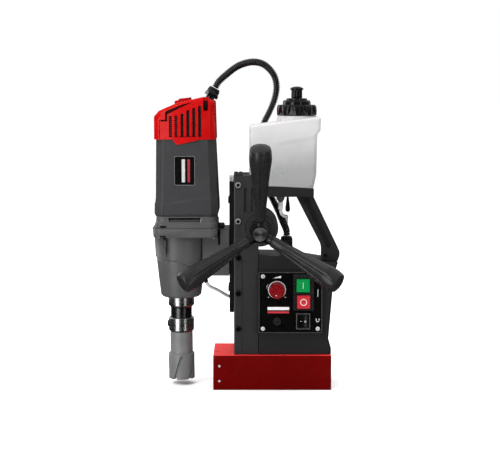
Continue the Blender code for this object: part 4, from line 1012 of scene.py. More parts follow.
def make_badge(edges, face):
    """A plain plate in a thin bright frame, with a pale and a red stripe."""
    left, bottom, right, top = edges
    inner = (left + 2.1, bottom + 2.3, right - 2.1, top - 2.3)
    rim = less(slab(left + 1.6, bottom + 1.8, right - 1.6, top - 1.8, face - 0.65, face + 0.2, 2.4),
               slab(*inner, face - 2, face + 2, 1.9))
    piece("badge_frame", rim, screw_grey, "carriage", bevel=0.12)
    piece("badge_plate", slab(*inner, face - 0.25, face + 0.2, 1.9), panel_black, "carriage")
    stripes = [("badge_stripe_pale", -124.0, -119.6, faded_print),
               ("badge_stripe_red", -116.2, -112.8, faded_red)]
    for name, x0, x1, finish in stripes:
        stripe = slab(x0, bottom + 6, x1, top - 6, face - 0.4, face - 0.2, 0.8)
        piece(name, stripe, finish, "carriage")


def make_motor_cap():
    low, high = span("motor_cap")
    depth = high.y
    side = [(low.x, low.z), (high.x, low.z), (high.x - 1.6, 401), (-88, 406.4), (-96.5, 407.0), (-131, 399),
            (-155, 388.6), (low.x, 381)]
    radii = [0, 0, 3, 3, 4, 12, 5, 5]
    rings = []
    for inset, lip in ((6.2, 0), (5.5, 0.3), (3.6, 0.75), (3.2, 1.35), (1.1, 2.3), (0.3, 3.3), (0, 4.6)):
        inner = shrunk(side, [0, *[inset] * 7])
        rings.append((rounded(inner, radii, 6), lip))
    stations = [(outline, lip - depth) for outline, lip in rings] + [(outline, depth - lip) for outline,
                                                                     lip in rings[::-1]]
    bm = loft([[(x, y, z) for x, z in outline] for outline, y in stations])
    cavity = [(-158.8, low.z - 1), (-81, low.z - 1), (-82.5, 398), (-95, 403.5), (-131, 395.5),
              (-158.8, 379.5)]
    changes = [("DIFFERENCE", prism(cavity, "Y", -depth + 3, depth - 3))]
    ridge = [(-134.7, 396), (-134.3, 401.8), (-129, 403.0), (-128.4, 404.8), (-113.9, 406.4), (-113.0, 401)]
    changes.append(("UNION", prism(ridge, "Y", -24, 24)))
    slots = [(-138.9, 381.8), (-131.3, 382.2), (-123.1, 385.1), (-115.2, 389.6), (-107.2, 392.5),
             (-99.2, 395.2)]
    for x, top in slots:
        changes.append(("DIFFERENCE", slab(x - 2.0, 353.2, x + 2.0, top, -depth - 2, depth + 2, 0.9)))
    wedge = [(-145.9, 374.2), (-143.4, 374.2), (-143.2, 383.6), (-125.5, 392.9), (-108.0, 400.6),
             (-121.5, 397.6),
             (-135.0, 392.4), (-145.9, 387.6)]
    grooves = [
        wedge,
        [(-152.6, 376.6), (-143.6, 376.6), (-143.6, 374.3), (-152.6, 374.3)],
        [(-128.5, 354.3), (-107.9, 354.3), (-121.8, 351.4), (-125.8, 351.4)],
        [(-154.2, low.z + 1.5), (-153.3, low.z + 1.5), (-153.3, 376), (-154.2, 376)],
        [(-84.2, low.z + 1.5), (-83.3, low.z + 1.5), (-83.6, 387.0), (-84.4, 387.0)],
    ]
    for side_sign in (-1, 1):
        pocket_wall = slab(-96.2, 386.8, -85.9, 402.6, side_sign * (depth - 7.4), side_sign * (depth - 2.9))
        changes.append(("UNION", pocket_wall))
        for number, groove in enumerate(grooves):
            reach = depth - (2.4 if number < 2 else 1.2)
            changes.append(("DIFFERENCE", across(groove, side_sign * (depth + 1), side_sign * reach)))
        pocket = slab(-94.4, 388.4, -87.8, 410, side_sign * (depth + 1), side_sign * (depth - 5.5), 2.6)
        changes.append(("DIFFERENCE", pocket))
    cap = combined(bm, changes)
    motor_side = middle("conduit_gland_motor")
    cap = less(cap, rod(6.4, -30, 8, motor_side, GLAND_LEAN))
    piece("rear_cap", cap, red_plastic, "carriage", bevel=0.35, replaces=["motor_cap"])
    for side_sign, side_name in ((-1, "front"), (1, "back")):
        face = side_sign * depth
        tab = [(-137.8, low.z + 3), (-135.5, low.z), (-131.8, 343.2), (-126.1, 343.2), (-101.6, 348.9),
               (-99, low.z + 3)]
        tab_outline = rounded(tab, [0, 0.8, 1.2, 1.2, 1.0, 0])
        piece(f"cap_tab_{side_name}", across(tab_outline, face, face + side_sign * 1.4), red_plastic,
              "carriage",
              bevel=0.4)
        bars = []
        mesh_face = face - side_sign * 1.4
        for x, top in slots[:2]:
            for z in np.arange(355.2, top - 1, 2.7):
                bars.append(block((x - 2.1, mesh_face - 0.5, z), (x + 2.1, mesh_face + 0.5, z + 1.1)))
        piece(f"vent_mesh_{side_name}", merged(*bars), vent_red, "carriage")
        # Dark red plates at the bottoms of the grooves and the screw pocket: painted shade
        shade_plates = [across(shrunk(groove, [0.1] * len(groove)), face - side_sign * 2.5, face - side_sign * 2.2)
                  for groove in grooves[:2]]
        shade_plates.append(slab(-94.3, 388.5, -87.9, 402.4, face - side_sign * 5.45, face - side_sign * 5.25, 2.5))
        piece(f"groove_shade_{side_name}", merged(*shade_plates), shadow_red, "carriage")
        # A black sheet behind the vent slots stands for the shaded inside of the cap: painted shade
        shade_outline = [(-143, 351.5), (-97.5, 351.5), (-97.5, 396.5), (-113, 393.5), (-143, 383.5)]
        piece(f"vent_shade_sheet_{side_name}", across(shade_outline, face - side_sign * 6, face - side_sign * 4),
              black_plastic, "carriage")
        socket_screw(f"cap_screw_{side_name}", (-91.1, face - side_sign * 5.2, 394.5), BACK * side_sign,
                     "carriage",
                     dark_screw, radius=2.7, height=1.8, socket=2.5)


# ---------------------------------------------------------------- spindle and cutter


def make_spindle():
    spindle = (SPINDLE.x, 0, 0)
    low, high = span("spindle")
    collar_top = span("gear_case")[0].z - 0.35
    profile = [(0, low.z), (9, low.z), (9, 112), (15.8, 112), (18.25, 114.6), (18.25, collar_top),
               (8, collar_top),
               (8, high.z), (0, high.z)]
    piece("spindle_nose", turned(softened(profile, 0.3), spindle), polished_steel, "spindle_group",
          replaces=["spindle"])
    low, high = span("chuck")
    body = [(9.8, low.z), (17.0, low.z), (17.9, low.z + 1.4), (17.9, 95.0), (17.4, 96.4), (9.8, 96.4)]
    sleeve = less(turned(body, spindle), rod(4.6, 14, 30, (SPINDLE.x, 0, 87.2), -RIGHT))
    piece("chuck_ring", sleeve, polished_steel, "spindle_group", bevel=0.3,
          replaces=["chuck"])
    neck = [(9.8, 96.5), (14.9, 96.5), (14.9, high.z - 0.8), (14.1, high.z), (9.8, high.z)]
    piece("chuck_neck", turned(neck, spindle), neck_steel, "spindle_group")
    socket_screw("chuck_set_screw", (SPINDLE.x - 15, 0, 87.2), -RIGHT, "spindle_group",
                 dark_screw,
                 radius=4.4, height=4.6, socket=4.0, dome=0.6)
    make_cutter(spindle)
    low, high = span("pilot_pin")
    pin = softened([(0, low.z), (3, low.z + 4), (3, high.z), (0, high.z)], 0.3)
    piece("ejector_pin", turned(pin, spindle, steps=SMALL_ROUND), screw_steel, "ejector",
          replaces=["pilot_pin"])


def make_cutter(spindle):
    """An annular cutter: a plain body over a head with five slanting flutes and notched teeth."""
    low, high = span("cutter")
    head_top, flutes, lead = 44.5, 5, math.radians(35)
    radius, around, groove_share = 18.6, 360, 0.17
    first = math.radians(-125)
    rings = []
    for z in np.linspace(low.z, head_top, 30):
        share = (z - low.z) / (head_top - low.z)
        fade = smooth((head_top - z) / 5.0)

        def reach_at(angle):
            place = ((angle - first - share * lead) * flutes / (2 * math.pi)) % 1
            if place < groove_share:
                return radius - 0.35 - smooth(min(place, groove_share - place) / 0.02) * 2.2 * fade
            return radius - 0.35 + 0.35 * (place - groove_share) / (1 - groove_share) * fade

        rings.append(ring_of(reach_at, float(z), around, (SPINDLE.x, 0)))
    shank = softened([(0, head_top - 2), (18.3, head_top - 2), (18.3, head_top), (17.9, head_top + 0.5),
                      (16.1, head_top + 0.6), (15.9, 76.2), (15.2, 77), (9.5, 77), (9.5, high.z),
                      (0, high.z)], 0.25)
    shape = plus(loft(rings), turned(shank, spindle))
    shape = less(shape, rod(14, low.z - 1, 62, spindle, steps=ROUND), rod(3.3, 60, high.z + 1, spindle))
    notches = []
    for tooth in range(flutes):
        angle = first + (tooth + 0.02) * 2 * math.pi / flutes
        notch = prism([(-0.2, -1), (4.8, -1), (3.6, 0.8), (1.4, 3.4)], "X", 10, 22)
        turn = Matrix.Translation((SPINDLE.x, 0, low.z)) @ Matrix.Rotation(angle, 4, "Z")
        bmesh.ops.transform(notch, matrix=turn, verts=notch.verts)
        notches.append(notch)
    piece("annular_cutter", less(shape, *notches), cutter_steel, "spindle_group",
          replaces=["cutter"])


# ---------------------------------------------------------------- housing and panel


def edges_at(bm, corner, tolerance, length):
    """The edges longer than this that run front to back through a corner (x, z)."""
    found = []
    for edge in bm.edges:
        a, b = edge.verts[0].co, edge.verts[1].co
        near = math.hypot(a.x - corner[0], a.z - corner[1]) < tolerance
        if near and abs(a.x - b.x) < 0.2 and abs(a.z - b.z) < 0.2 and abs(a.y - b.y) > length:
            found.append(edge)
    return found


def round_edges(bm, edges, radius, segments=5):
    bmesh.ops.bevel(bm, geom=edges, offset=radius, segments=segments, affect="EDGES", profile=0.5,
                    clamp_overlap=True)


def make_housing():
    low, _ = span("housing")
    face = low.y + 3.0
    bm = cad_shape("housing")
    right_front = []
    for edge in bm.edges:
        a, b = edge.verts[0].co, edge.verts[1].co
        if abs(a.y - face) < 0.1 and abs(b.y - face) < 0.1 and min(a.x, b.x) > 77 and abs(a.z - b.z) > 3:
            right_front.append(edge)
    round_edges(bm, right_front, 5.0)
    frame_low, frame_high = Vector((-22, 78)), Vector((71, 168))
    for corner in rectangle(frame_low, frame_high):
        round_edges(bm, edges_at(bm, corner, 1, 1), 4.0)
    groove = less(
        slab(*(frame_low + Vector((2.2, 1.6))), *(frame_high - Vector((1.0, 1.0))), -40, low.y + 0.9, 3.0),
        slab(*(frame_low + Vector((2.9, 2.3))), *(frame_high - Vector((1.7, 1.7))), -41, 0, 2.4),
    )
    bm = less(bm, groove)
    piece("frame_housing", bm, frame_plastic, "stand", bevel=0.7, segments=3,
          replaces=["housing"])
    panel_low, panel_high = span("control_panel")
    rim = less(
        slab(panel_low.x - 1.1, panel_low.z - 1.1, panel_high.x + 1.1, panel_high.z + 1.1,
             low.y - 0.15, low.y + 0.4, 1.6),
        slab(panel_low.x - 0.3, panel_low.z - 0.3, panel_high.x + 0.3, panel_high.z + 0.3, -41, 0),
    )
    piece("panel_rim", rim, bracket_paint, "stand", bevel=0.1)
    make_rear_cover()


def make_rear_cover():
    low, high = span("housing_rear_cover")
    bm = cad_shape("housing_rear_cover")
    slots = []
    for i in range(7):
        x = -2 + i * 8.5
        slots.append(slab(x - 1.6, 128, x + 1.6, 160, high.y - 1.2, high.y + 1, 1.5))
    bm = less(bm, *slots)
    piece("back_cover", bm, frame_plastic, "stand", bevel=0.6,
          replaces=["housing_rear_cover"])
    corners = [(low.x + 6, low.z + 6), (72, low.z + 6), (low.x + 6, 178), (80, 170)]
    for number, (x, z) in enumerate(corners, 1):
        cross_screw(f"cover_screw_{number}", (x, high.y - 0.1, z), BACK, "stand", dark_screw)
    inlet = Vector((60, 0, 75))
    gland("cable_gland", "mains_gland", inlet, BACK, "stand", high.y + 0.35, high.y + 6.3,
          span("mains_gland")[1].y, 9.9)


def make_panel():
    low, high = span("control_panel")
    face = low.y
    bm = cad_shape("control_panel")
    piece("panel_plate", bm, panel_black, "stand", bevel=0.35, replaces=["control_panel"])
    inset = 4.7
    corners = [(low.x + inset, high.z - inset), (low.x + inset, low.z + inset),
               (high.x - inset, low.z + inset),
               (high.x - inset, high.z - inset)]
    for number, (x, z) in enumerate(corners, 1):
        cross_screw(f"panel_screw_{number}", (x, face - 0.02, z), FRONT, "stand", screw_steel,
                    radius=2.9)
    dress("circuit_board", board_green)
    dress("speed_potentiometer", feed_steel)
    make_prints(face)


def arc_band(centre, radius, width, start, end, steps=24):
    """The outline of a flat curved band, between two angles in degrees."""
    angles = [math.radians(start + (end - start) * i / steps) for i in range(steps + 1)]
    outer = [(centre[0] + (radius + width) * math.cos(a),
              centre[1] + (radius + width) * math.sin(a)) for a in angles]
    inner = [(centre[0] + radius * math.cos(a), centre[1] + radius * math.sin(a)) for a in reversed(angles)]
    return outer + inner


def make_prints(face):
    """Plain printed marks: a dial's arc with minus and plus, a wedge, a magnet sign and two stripes."""
    knob = middle("speed_knob")
    rocker = middle("magnet_rocker")
    switch_right = span("start_stop_switch")[1].x
    dial = (knob.x, knob.z)
    white = [
        arc_band(dial, 14.2, 0.4, 148, 172),
        rectangle((knob.x - 12.6, knob.z - 11.0), (knob.x - 10.8, knob.z - 10.6)),
        rectangle((knob.x + 10.6, knob.z - 11.0), (knob.x + 12.4, knob.z - 10.6)),
        rectangle((knob.x + 11.3, knob.z - 11.7), (knob.x + 11.7, knob.z - 9.9)),
        [(knob.x - 5.5, knob.z + 16.2), (knob.x + 5.5, knob.z + 16.2), (knob.x + 5.5, knob.z + 19.4)],
        rectangle((knob.x - 13.0, 112.9), (knob.x + 17.0, 117.2)),
        arc_band((switch_right + 5.6, rocker.z + 1.0), 1.6, 0.7, 180, 360),
        rectangle((switch_right + 3.3, rocker.z + 1.0), (switch_right + 4.0, rocker.z + 3.6)),
        rectangle((switch_right + 7.2, rocker.z + 1.0), (switch_right + 7.9, rocker.z + 3.6)),
        rectangle((switch_right + 5.4, 131.0), (switch_right + 6.0, 142.0)),
    ]
    depth = 0.14
    for number, outline in enumerate(white, 1):
        piece(f"print_white_{number}", prism(outline, "Y", face - depth, face + 0.05), white_print, "stand")
    red = rectangle((knob.x - 13.0, 108.4), (knob.x + 17.0, 111.0))
    piece("print_red_stripe", prism(red, "Y", face - depth, face + 0.05), red_print, "stand")


def make_switches():
    piece("switch_body", cad_shape("start_stop_switch"), black_plastic, "stand", bevel=0.5,
          replaces=["start_stop_switch"])
    for node, body, slot, finish in (("start_button", "start", "green_plastic", green_plastic),
                                     ("stop_button", "stop", "button_red", button_red)):
        low, high = span(node)
        piece(f"{node}_cap", block(low, high), finish, body, bevel=0.9, segments=3, replaces=[node])
    low, _ = span("start_button")
    x, z = middle("start_button").x, middle("start_button").z
    piece("start_mark", slab(x - 0.3, z - 4.2, x + 0.3, z + 4.2, low.y - 0.12, low.y + 0.1),
          white_print, "start")
    low, _ = span("stop_button")
    x, z = middle("stop_button").x, middle("stop_button").z
    ring = tube(4.6, 3.8, -0.12, 0.1, (x, low.y, z), BACK, 64)
    piece("stop_mark", ring, white_print, "stop")


def make_rocker():
    piece("rocker_frame", cad_shape("rocker_bezel"), black_plastic, "stand", bevel=0.45,
          replaces=["rocker_bezel"])
    low, high = span("rocker_bezel")
    lines = less(slab(low.x + 0.5, low.z + 0.5, high.x - 0.5, high.z - 0.5, low.y - 0.08, low.y + 0.3),
                 slab(low.x + 1.0, low.z + 1.0, high.x - 1.0, high.z - 1.0, low.y - 1, low.y + 1))
    piece("rocker_line", lines, grey_print, "stand")
    low, high = span("magnet_rocker")
    centre = Vector((middle("rocker_bezel").x, -34, middle("rocker_bezel").z))
    half = (high.z - low.z) / 2
    front = [(-7.0, -5.2), (-5.5, -5.0), (-3.5, -4.55), (0, -4.1), (3.5, -4.55), (5.5, -5.0), (7.0, -5.2)]
    outline = [*front, (6.8, 1), (2, 6), (-2, 6), (-6.8, 1)]
    tilt = Matrix.Rotation(math.radians(-8), 4, "Z")

    def tilted(shape):
        bmesh.ops.transform(shape, matrix=Matrix.Translation(centre) @ tilt, verts=shape.verts)
        return shape

    rocker = tilted(prism(outline, "Z", -half, half))
    piece("rocker_key", rocker, panel_black, "magnet_switch", bevel=0.4,
          replaces=["magnet_rocker"])
    marks = merged(tilted(block((-3.4, -4.72, -0.2), (-1.6, -4.2, 0.2))),
                   tilted(tube(1.25, 0.95, -4.95, -4.3, (3.7, 0, 0), BACK, 32)))
    piece("rocker_marks", marks, white_print, "magnet_switch")


def make_knob():
    low, high = span("speed_knob")
    centre = (middle("speed_knob").x, 0, middle("speed_knob").z)
    ring = tube(12.3, 11.5, high.y - 1.4, high.y, centre, BACK)
    piece("knob_ring", ring, white_print, "speed_dial", bevel=0.2)
    rings = []
    for y, radius, depth in ((-high.y + 0.1, 11.4, 0.0), (-high.y + 2.6, 11.4, 0.35),
                             (-low.y - 2.4, 10.9, 0.35),
                             (-low.y - 0.8, 10.3, 0.2), (-low.y - 0.1, 9.5, 0.0)):
        rings.append([(x, z, y) for x, z in wavy(radius, depth, 30, 240)])
    rings.append([(x, z, -low.y - 0.1) for x, z in wavy(7.6, 0, 30, 240)])
    rings.append([(x, z, -low.y - 0.9) for x, z in wavy(6.9, 0, 30, 240)])
    cap = placed(loft(rings), centre, FRONT)
    cap = less(cap, rod(3.3, high.y - 8.6, high.y + 2, centre, BACK))
    piece("knob_cap", cap, knob_red, "speed_dial", replaces=["speed_knob"], angle=40)
    x, z = centre[0], centre[2]
    dot = rod(0.7, low.y + 0.75, low.y + 1.2, (x - 1.4, 0, z - 6.0), BACK, 24)
    piece("knob_dot", dot, white_print, "speed_dial")


def make_fuse():
    low, high = span("fuse_holder")
    centre = Vector((middle("fuse_holder").x, 0, middle("fuse_holder").z))
    face = span("control_panel")[0].y
    cap = placed(loft([[(x * s, y * s, z) for x, y in wavy(6.0, 0.5, 16, 160)]
                       for z, s in ((-face + 0.35, 0.98), (-face + 1, 1), (-low.y - 0.7, 0.97),
                                    (-low.y, 0.86))]),
                 centre, FRONT)
    body = rod(5.0, face + 0.5 - 0.9, high.y, centre, BACK)
    shape = plus(cap, body)
    shape = less(shape, block((centre.x - 0.6, low.y - 1, centre.z - 3.6),
                              (centre.x + 0.6, low.y + 1.1, centre.z + 3.6)))
    piece("fuse_cap", shape, black_plastic, "stand", replaces=["fuse_holder"])


# ---------------------------------------------------------------- carrying arm, tray, bottle and tap


def make_arm():
    bm = cad_shape("carry_arm")
    low, high = span("carry_arm")
    for corner, radius in (((95.3, 190.9), 5.0), ((70.2, 197.8), 6.0)):
        round_edges(bm, edges_at(bm, corner, 2.0, 4), radius, 6)
    channel = rounded([(42.5, 267.5), (50.0, 267.5), (83.5, 200), (77.5, 197)], 2.5)
    bm = less(bm, prism(channel, "Y", low.y - 1, low.y + 5.0), prism(channel, "Y", high.y - 5.0, high.y + 1))
    piece("carrying_arm", bm, frame_plastic, "stand", bevel=1.6, segments=3,
          replaces=["carry_arm"])
    for side, name in ((low.y, "front"), (high.y, "back")):
        way = FRONT if side < 0 else BACK
        socket_screw(f"arm_screw_{name}", (74.5, side - 0.05 * way.y, 187.5), way, "stand",
                     dark_screw, radius=3.0, height=1.2, socket=2.5)


def make_tray():
    bm = cad_shape("bottle_tray")
    piece("tray", bm, frame_plastic, "stand", bevel=1.1, segments=3, replaces=["bottle_tray"])


def waisted(x, y, half, depth):
    """Y on the bottle's front or back, which stands back by this depth to the right of the column."""
    return y - math.copysign(depth * smooth((x + 2) / 22) * smooth((abs(y) - half + 9) / 8), y)


def bottle_ring(z, inset=0.0):
    """One level of the bottle above its foot: round corners, a slanted crease and a top that slopes."""
    left = -32.0
    right = float(np.interp(z, [286, 297.5, 345, 351.5, 354.5, 368], [58.0, 60.4, 61.2, 61.7, 66.0, 66.3]))
    turn = min(max((z - 364.4) / 3.6, 0.0), 1.0)
    shoulder = 3.0 * (1 - math.sqrt(1 - turn * turn))
    left, right = left + inset + shoulder, right - inset - shoulder
    half = BOTTLE_HALF - inset - shoulder
    slope = 12.0 / 95 * smooth((z - 338) / 30)
    ring = []
    for x, y in divided(rounded(rectangle((left, -half), (right, half)), BOTTLE_CORNER - inset, 7), 7, 24):
        level = z + slope * (x + 32)
        crease = 340.5 + (x - 14.2) * 0.2
        depth = WAIST * (1 - smooth((level - crease) / 6.5))
        ring.append((x, waisted(x, y, half, depth), level - inset * min(1.0, shoulder)))
    return ring


def foot_ring(height, low, inset=0.0):
    """One level of the bottle's foot, which stands beside the column on the sloping tray."""
    slope = (low.z - FOOT_BOTTOM) / (FOOT_RIGHT - FOOT_LEFT)
    right = float(np.interp(height, [0, 15], [FOOT_RIGHT, 60.4]))
    half = BOTTLE_HALF - inset
    outline = rectangle((FOOT_LEFT + inset, -half), (right - inset, half))
    plan = divided(rounded(outline, BOTTLE_CORNER - inset, 7), 7, 24)
    share = 1 - height / 20
    return [(x, waisted(x, y, half, WAIST), FOOT_BOTTOM + height + slope * (x - FOOT_LEFT) * share) for x,
            y in plan]


def make_bottle():
    low, high = span("bottle")
    levels = [300.4, 302, *np.linspace(304, 334, 8), *np.linspace(335, 357, 45), 360,
              *np.linspace(364.4, 368, 8)]
    main = loft([bottle_ring(float(z)) for z in levels])
    foot = loft([foot_ring(height, low) for height in (0, 1.2, 4, 8, 12, 20)])
    neck = (middle("bottle_cap").x, 0, 0)
    collar = softened([(0, 366), (27.0, 366), (27.6, 371), (27.6, 380.0), (26.6, 381.4), (22, 381.4),
                       (22, high.z),
                       (0, high.z)], 0.8)
    shape = plus(main, foot, turned(collar, neck))
    hollow = loft([bottle_ring(float(z), BOTTLE_WALL) for z in [303, *np.linspace(306, 360, 20), 364, 366]])
    foot_hollow = loft([foot_ring(height, low, BOTTLE_WALL) for height in (2, 10, 19)])
    tap_x, tap_y = middle("tap_body").x, middle("tap_body").y
    shape = less(shape, hollow, foot_hollow, rod(19.5, 360, high.z + 1, neck),
                 rod(2.6, low.z, low.z + 6, (tap_x, tap_y, 0)))
    piece("coolant_bottle", shape, milky_plastic, "stand", bevel=0.4,
          replaces=["bottle"], angle=40)


def make_bottle_cap():
    low, high = span("bottle_cap")
    centre = Vector((middle("bottle_cap").x, 0, 0))
    skirt_top = 396.2
    rings = []
    for z, radius, depth in ((low.z, 28.2, 0.4), (low.z + 0.8, 28.3, 1.0), (low.z + 6, 28.2, 1.5),
                             (skirt_top - 3, 27.6, 1.5), (skirt_top - 0.8, 26.6, 1.0),
                             (skirt_top, 25.4, 0.4)):
        half_width = float(np.interp(z, [low.z, skirt_top], [15.0, 5.0]))

        def reach_at(angle):
            off_centre = abs((math.degrees(angle) + 18) % 36 - 18)
            return radius - depth * smooth((half_width - off_centre) / 5.0)

        rings.append(ring_of(reach_at, z, 300, (centre.x, 0)))
    dome = softened([(0, skirt_top - 1), (19.6, skirt_top - 1), (19.2, 400.2), (18.0, 402.4), (14.4, 402.8),
                     (14.2, 404.8),
                     (13.0, 405.3), (5, 405.3), (5, high.z), (0, high.z)], 0.5)
    shape = plus(loft(rings), turned(dome, centre))
    shape = less(shape, rod(22.6, low.z - 1, 392.5, centre, steps=ROUND), rod(2, 390, high.z + 1, centre))
    piece("screw_cap", shape, gloss_black, "filler_cap", replaces=["bottle_cap"], angle=45)
    low, high = span("bottle_nozzle")
    rings = []
    for z, radius, ribs in ((low.z, 7.4, 0.5), (low.z + 0.5, 7.7, 0.7), (415.2, 7.6, 0.7), (416.6, 7.6, 0.0),
                            (417.2, 9.2, 0.0), (418.4, 9.3, 0.0), (419.4, 8.6, 0.0), (420.8, 5.6, 0.0),
                            (high.z, 2.6, 0.0)):
        rings.append([(centre.x + x, y, z) for x, y in wavy(radius, ribs, 12, 192)])
    shape = less(loft(rings), rod(5.35, low.z - 1, 417.6, centre), rod(1.5, 415, high.z + 1, centre))
    piece("pull_nozzle", shape, gloss_black, "filler_nozzle", replaces=["bottle_nozzle"],
          angle=45)


def make_tap():
    low, high = span("tap_body")
    centre = Vector((middle("tap_body").x, middle("tap_body").y, 0))
    valve = [(1.8, low.z + 3), (3.0, low.z + 3), (3.5, low.z + 4.4), (5.2, low.z + 6.2), (6.2, low.z + 11),
             (6.4, low.z + 12), (6.4, high.z - 8.2), (2.3, high.z - 8.2), (2.3, high.z), (1.2, high.z),
             (1.2, 275), (1.8, 274)]
    piece("tap", turned(valve, centre, steps=SMALL_ROUND), bracket_paint, "stand",
          replaces=["tap_body"])
    ribs = []
    for k in range(5):
        ribs += [(3.7, low.z - 7 + 2.0 * k), (2.9, low.z - 6 + 2.0 * k)]
    sleeve = [(2.7, low.z - 7), *ribs, (3.4, low.z + 2.8), (2.7, low.z + 2.8)]
    piece("tap_sleeve", turned(sleeve, centre, steps=SMALL_ROUND), clear_plastic, "stand")
    low, high = span("tap_lever")
    x = (low.x + high.x) / 2
    outline = rounded([(x - 1.4, high.z), (x + 1.4, high.z), (high.x, low.z + 5.5), (high.x, low.z),
                       (low.x, low.z),
                       (low.x, low.z + 5.5)], [0.8, 0.8, 3, 3.1, 3.1, 3])
    shape = prism(outline, "Y", low.y + 0.2, high.y - 0.2)
    piece("tap_handle", shape, gloss_black, "coolant_tap", bevel=1.4, segments=4,
          replaces=["tap_lever"])


# ---------------------------------------------------------------- conduit and coolant tube


CONDUIT_ROUTE = [
    (-79.2, 0, 420), (-74.6, 0.8, 428), (-65, 4, 437), (-51, 10, 448), (-38.6, 17, 453.6), (-26, 24, 455.8),
    (-13.5, 30.5, 453.4), (-3.4, 35.5, 446), (4, 39, 435.3), (6.8, 41, 422.7), (5.8, 42, 411),
    (2.3, 42, 398.4),
    (-4, 42, 384), (-11.3, 42, 369), (-17, 42, 348), (-18.5, 42, 325), (-16.5, 42, 303), (-11, 41.5, 284),
    (0.5, 38.5, 262.5), (8.5, 32.5, 247), (15, 24, 232), (20.8, 12.4, 219), (21, 12, 211.9),
]
TUBE_ROUTE = [
    (11.5, -15, 258.5), (11.5, -15, 252), (12.6, -12.5, 246), (15.7, -3, 241.5), (19, 9, 239),
    (21.2, 22, 237.5),
    (21.5, 33, 233), (21.5, 41, 222), (21, 46, 205), (19.5, 49, 185), (15, 49.5, 163), (6, 49.5, 145),
    (-6, 49.3, 131.5), (-20, 49, 122), (-34, 47, 116.5), (-48, 40, 115.5), (-61.4, 29.5, 120.5),
    (-76, 14.5, 131.5),
    (-83, 7.5, 136.2), (-87, 4, 138.9), (-90.3, 1.1, 141.9), (-92.5, 0, 146.3),
]


def smooth_route(route, spacing):
    """Evenly spaced points on a smooth curve through the route's points."""
    points = [Vector(point) for point in route]
    points = [2 * points[0] - points[1], *points, 2 * points[-1] - points[-2]]
    fine = []
    for a, b, c, d in zip(points, points[1:], points[2:], points[3:]):
        for t in np.linspace(0, 1, 24, endpoint=False):
            t = float(t)
            fine.append(0.5 * (2 * b + (c - a) * t + (2 * a - 5 * b + 4 * c - d) * t**2
                               + (3 * b - a - 3 * c + d) * t**3))
    fine.append(points[-2])
    along = np.concatenate([[0], np.cumsum([(q - p).length for p, q in zip(fine, fine[1:])])])
    stations = np.linspace(0, along[-1], max(2, round(along[-1] / spacing)) + 1)
    return [Vector([float(np.interp(s, along, [p[k] for p in fine])) for k in range(3)]) for s in stations]


def swept(points, radius_at, around):
    """A tube along points, without twist; radius_at gives the radius at each point's number."""
    rings = []
    side = None
    for k, point in enumerate(points):
        ahead = points[min(k + 1, len(points) - 1)] - points[max(k - 1, 0)]
        ahead.normalize()
        side = (side or ahead.orthogonal()) - ahead * ahead.dot(side or ahead.orthogonal())
        side.normalize()
        other = ahead.cross(side)
        radius = radius_at(k)
        rings.append([point + side * radius * math.cos(2 * math.pi * i / around)
                      + other * radius * math.sin(2 * math.pi * i / around) for i in range(around)])
    return loft(rings)


def make_conduit():
    """A corrugated conduit with a rib every 2.6 mm."""
    spacing, ribs = 0.433, 6
    points = smooth_route(CONDUIT_ROUTE, spacing)
    profile = [3.4, 3.4, 4.5, 5.0, 5.0, 4.5]
    bm = swept(points, lambda k: profile[k % ribs], 28)
    conduit = piece("corrugated_conduit", bm, rubber, None, replaces=["conduit"], angle=60)
    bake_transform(conduit)
    motor_gland = Vector((-86.6, 0, 406))
    gland("motor_gland", "conduit_gland_motor", motor_gland, GLAND_LEAN, "carriage", 1.8, 6.5, 15, 8.75)
    low, high = span("conduit_gland_frame")
    centre = Vector((middle("conduit_gland_frame").x, middle("conduit_gland_frame").y, 0))
    gland("frame_gland", "conduit_gland_frame", centre, UP, "stand", low.z + 8.9, low.z + 16, high.z, 8.75)


def make_coolant_tube():
    points = smooth_route(TUBE_ROUTE, 2.0)
    bm = swept(points, lambda k: 2.34, 24)
    hose = piece("coolant_hose", bm, clear_plastic, None, replaces=["coolant_tube"],
                 angle=80)
    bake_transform(hose)
    dress("coolant_inlet", dark_screw)
    stem = rod(2.2, 2.9, 12.0, TUBE_ROUTE[-1], Vector((-4, -2, 8)).normalized(), 24)
    piece("coolant_inlet_stem", stem, dark_screw, "carriage")


# ---------------------------------------------------------------- stage


def make_camera():
    data = bpy.data.cameras.new("camera")
    data.lens = 81.4
    tilt_down = 6.86
    data.sensor_width = 36
    camera = bpy.data.objects.new("camera", data)
    camera.location = (-0.031, -1.582, 0.418)
    camera.rotation_euler = (math.radians(90 - tilt_down), 0, 0)
    bpy.context.scene.collection.objects.link(camera)
    bpy.context.scene.camera = camera


def softbox(name, bearing, distance, height, size, power, aim=(0, 0, 0.22), lights=True, reflects=True):
    """A soft light that lights surfaces, or is seen in glossy ones, or both.

    Its bearing is measured from the front, positive to the right.
    """
    data = bpy.data.lights.new(name, "AREA")
    data.shape = "RECTANGLE"
    data.size, data.size_y = size
    data.energy = power
    light = bpy.data.objects.new(name, data)
    turn = math.radians(bearing)
    light.location = Vector((math.sin(turn) * distance, -math.cos(turn) * distance, height))
    light.rotation_euler = (Vector(aim) - light.location).to_track_quat("-Z", "Y").to_euler()
    light.visible_diffuse = lights
    light.visible_glossy = reflects
    bpy.context.scene.collection.objects.link(light)


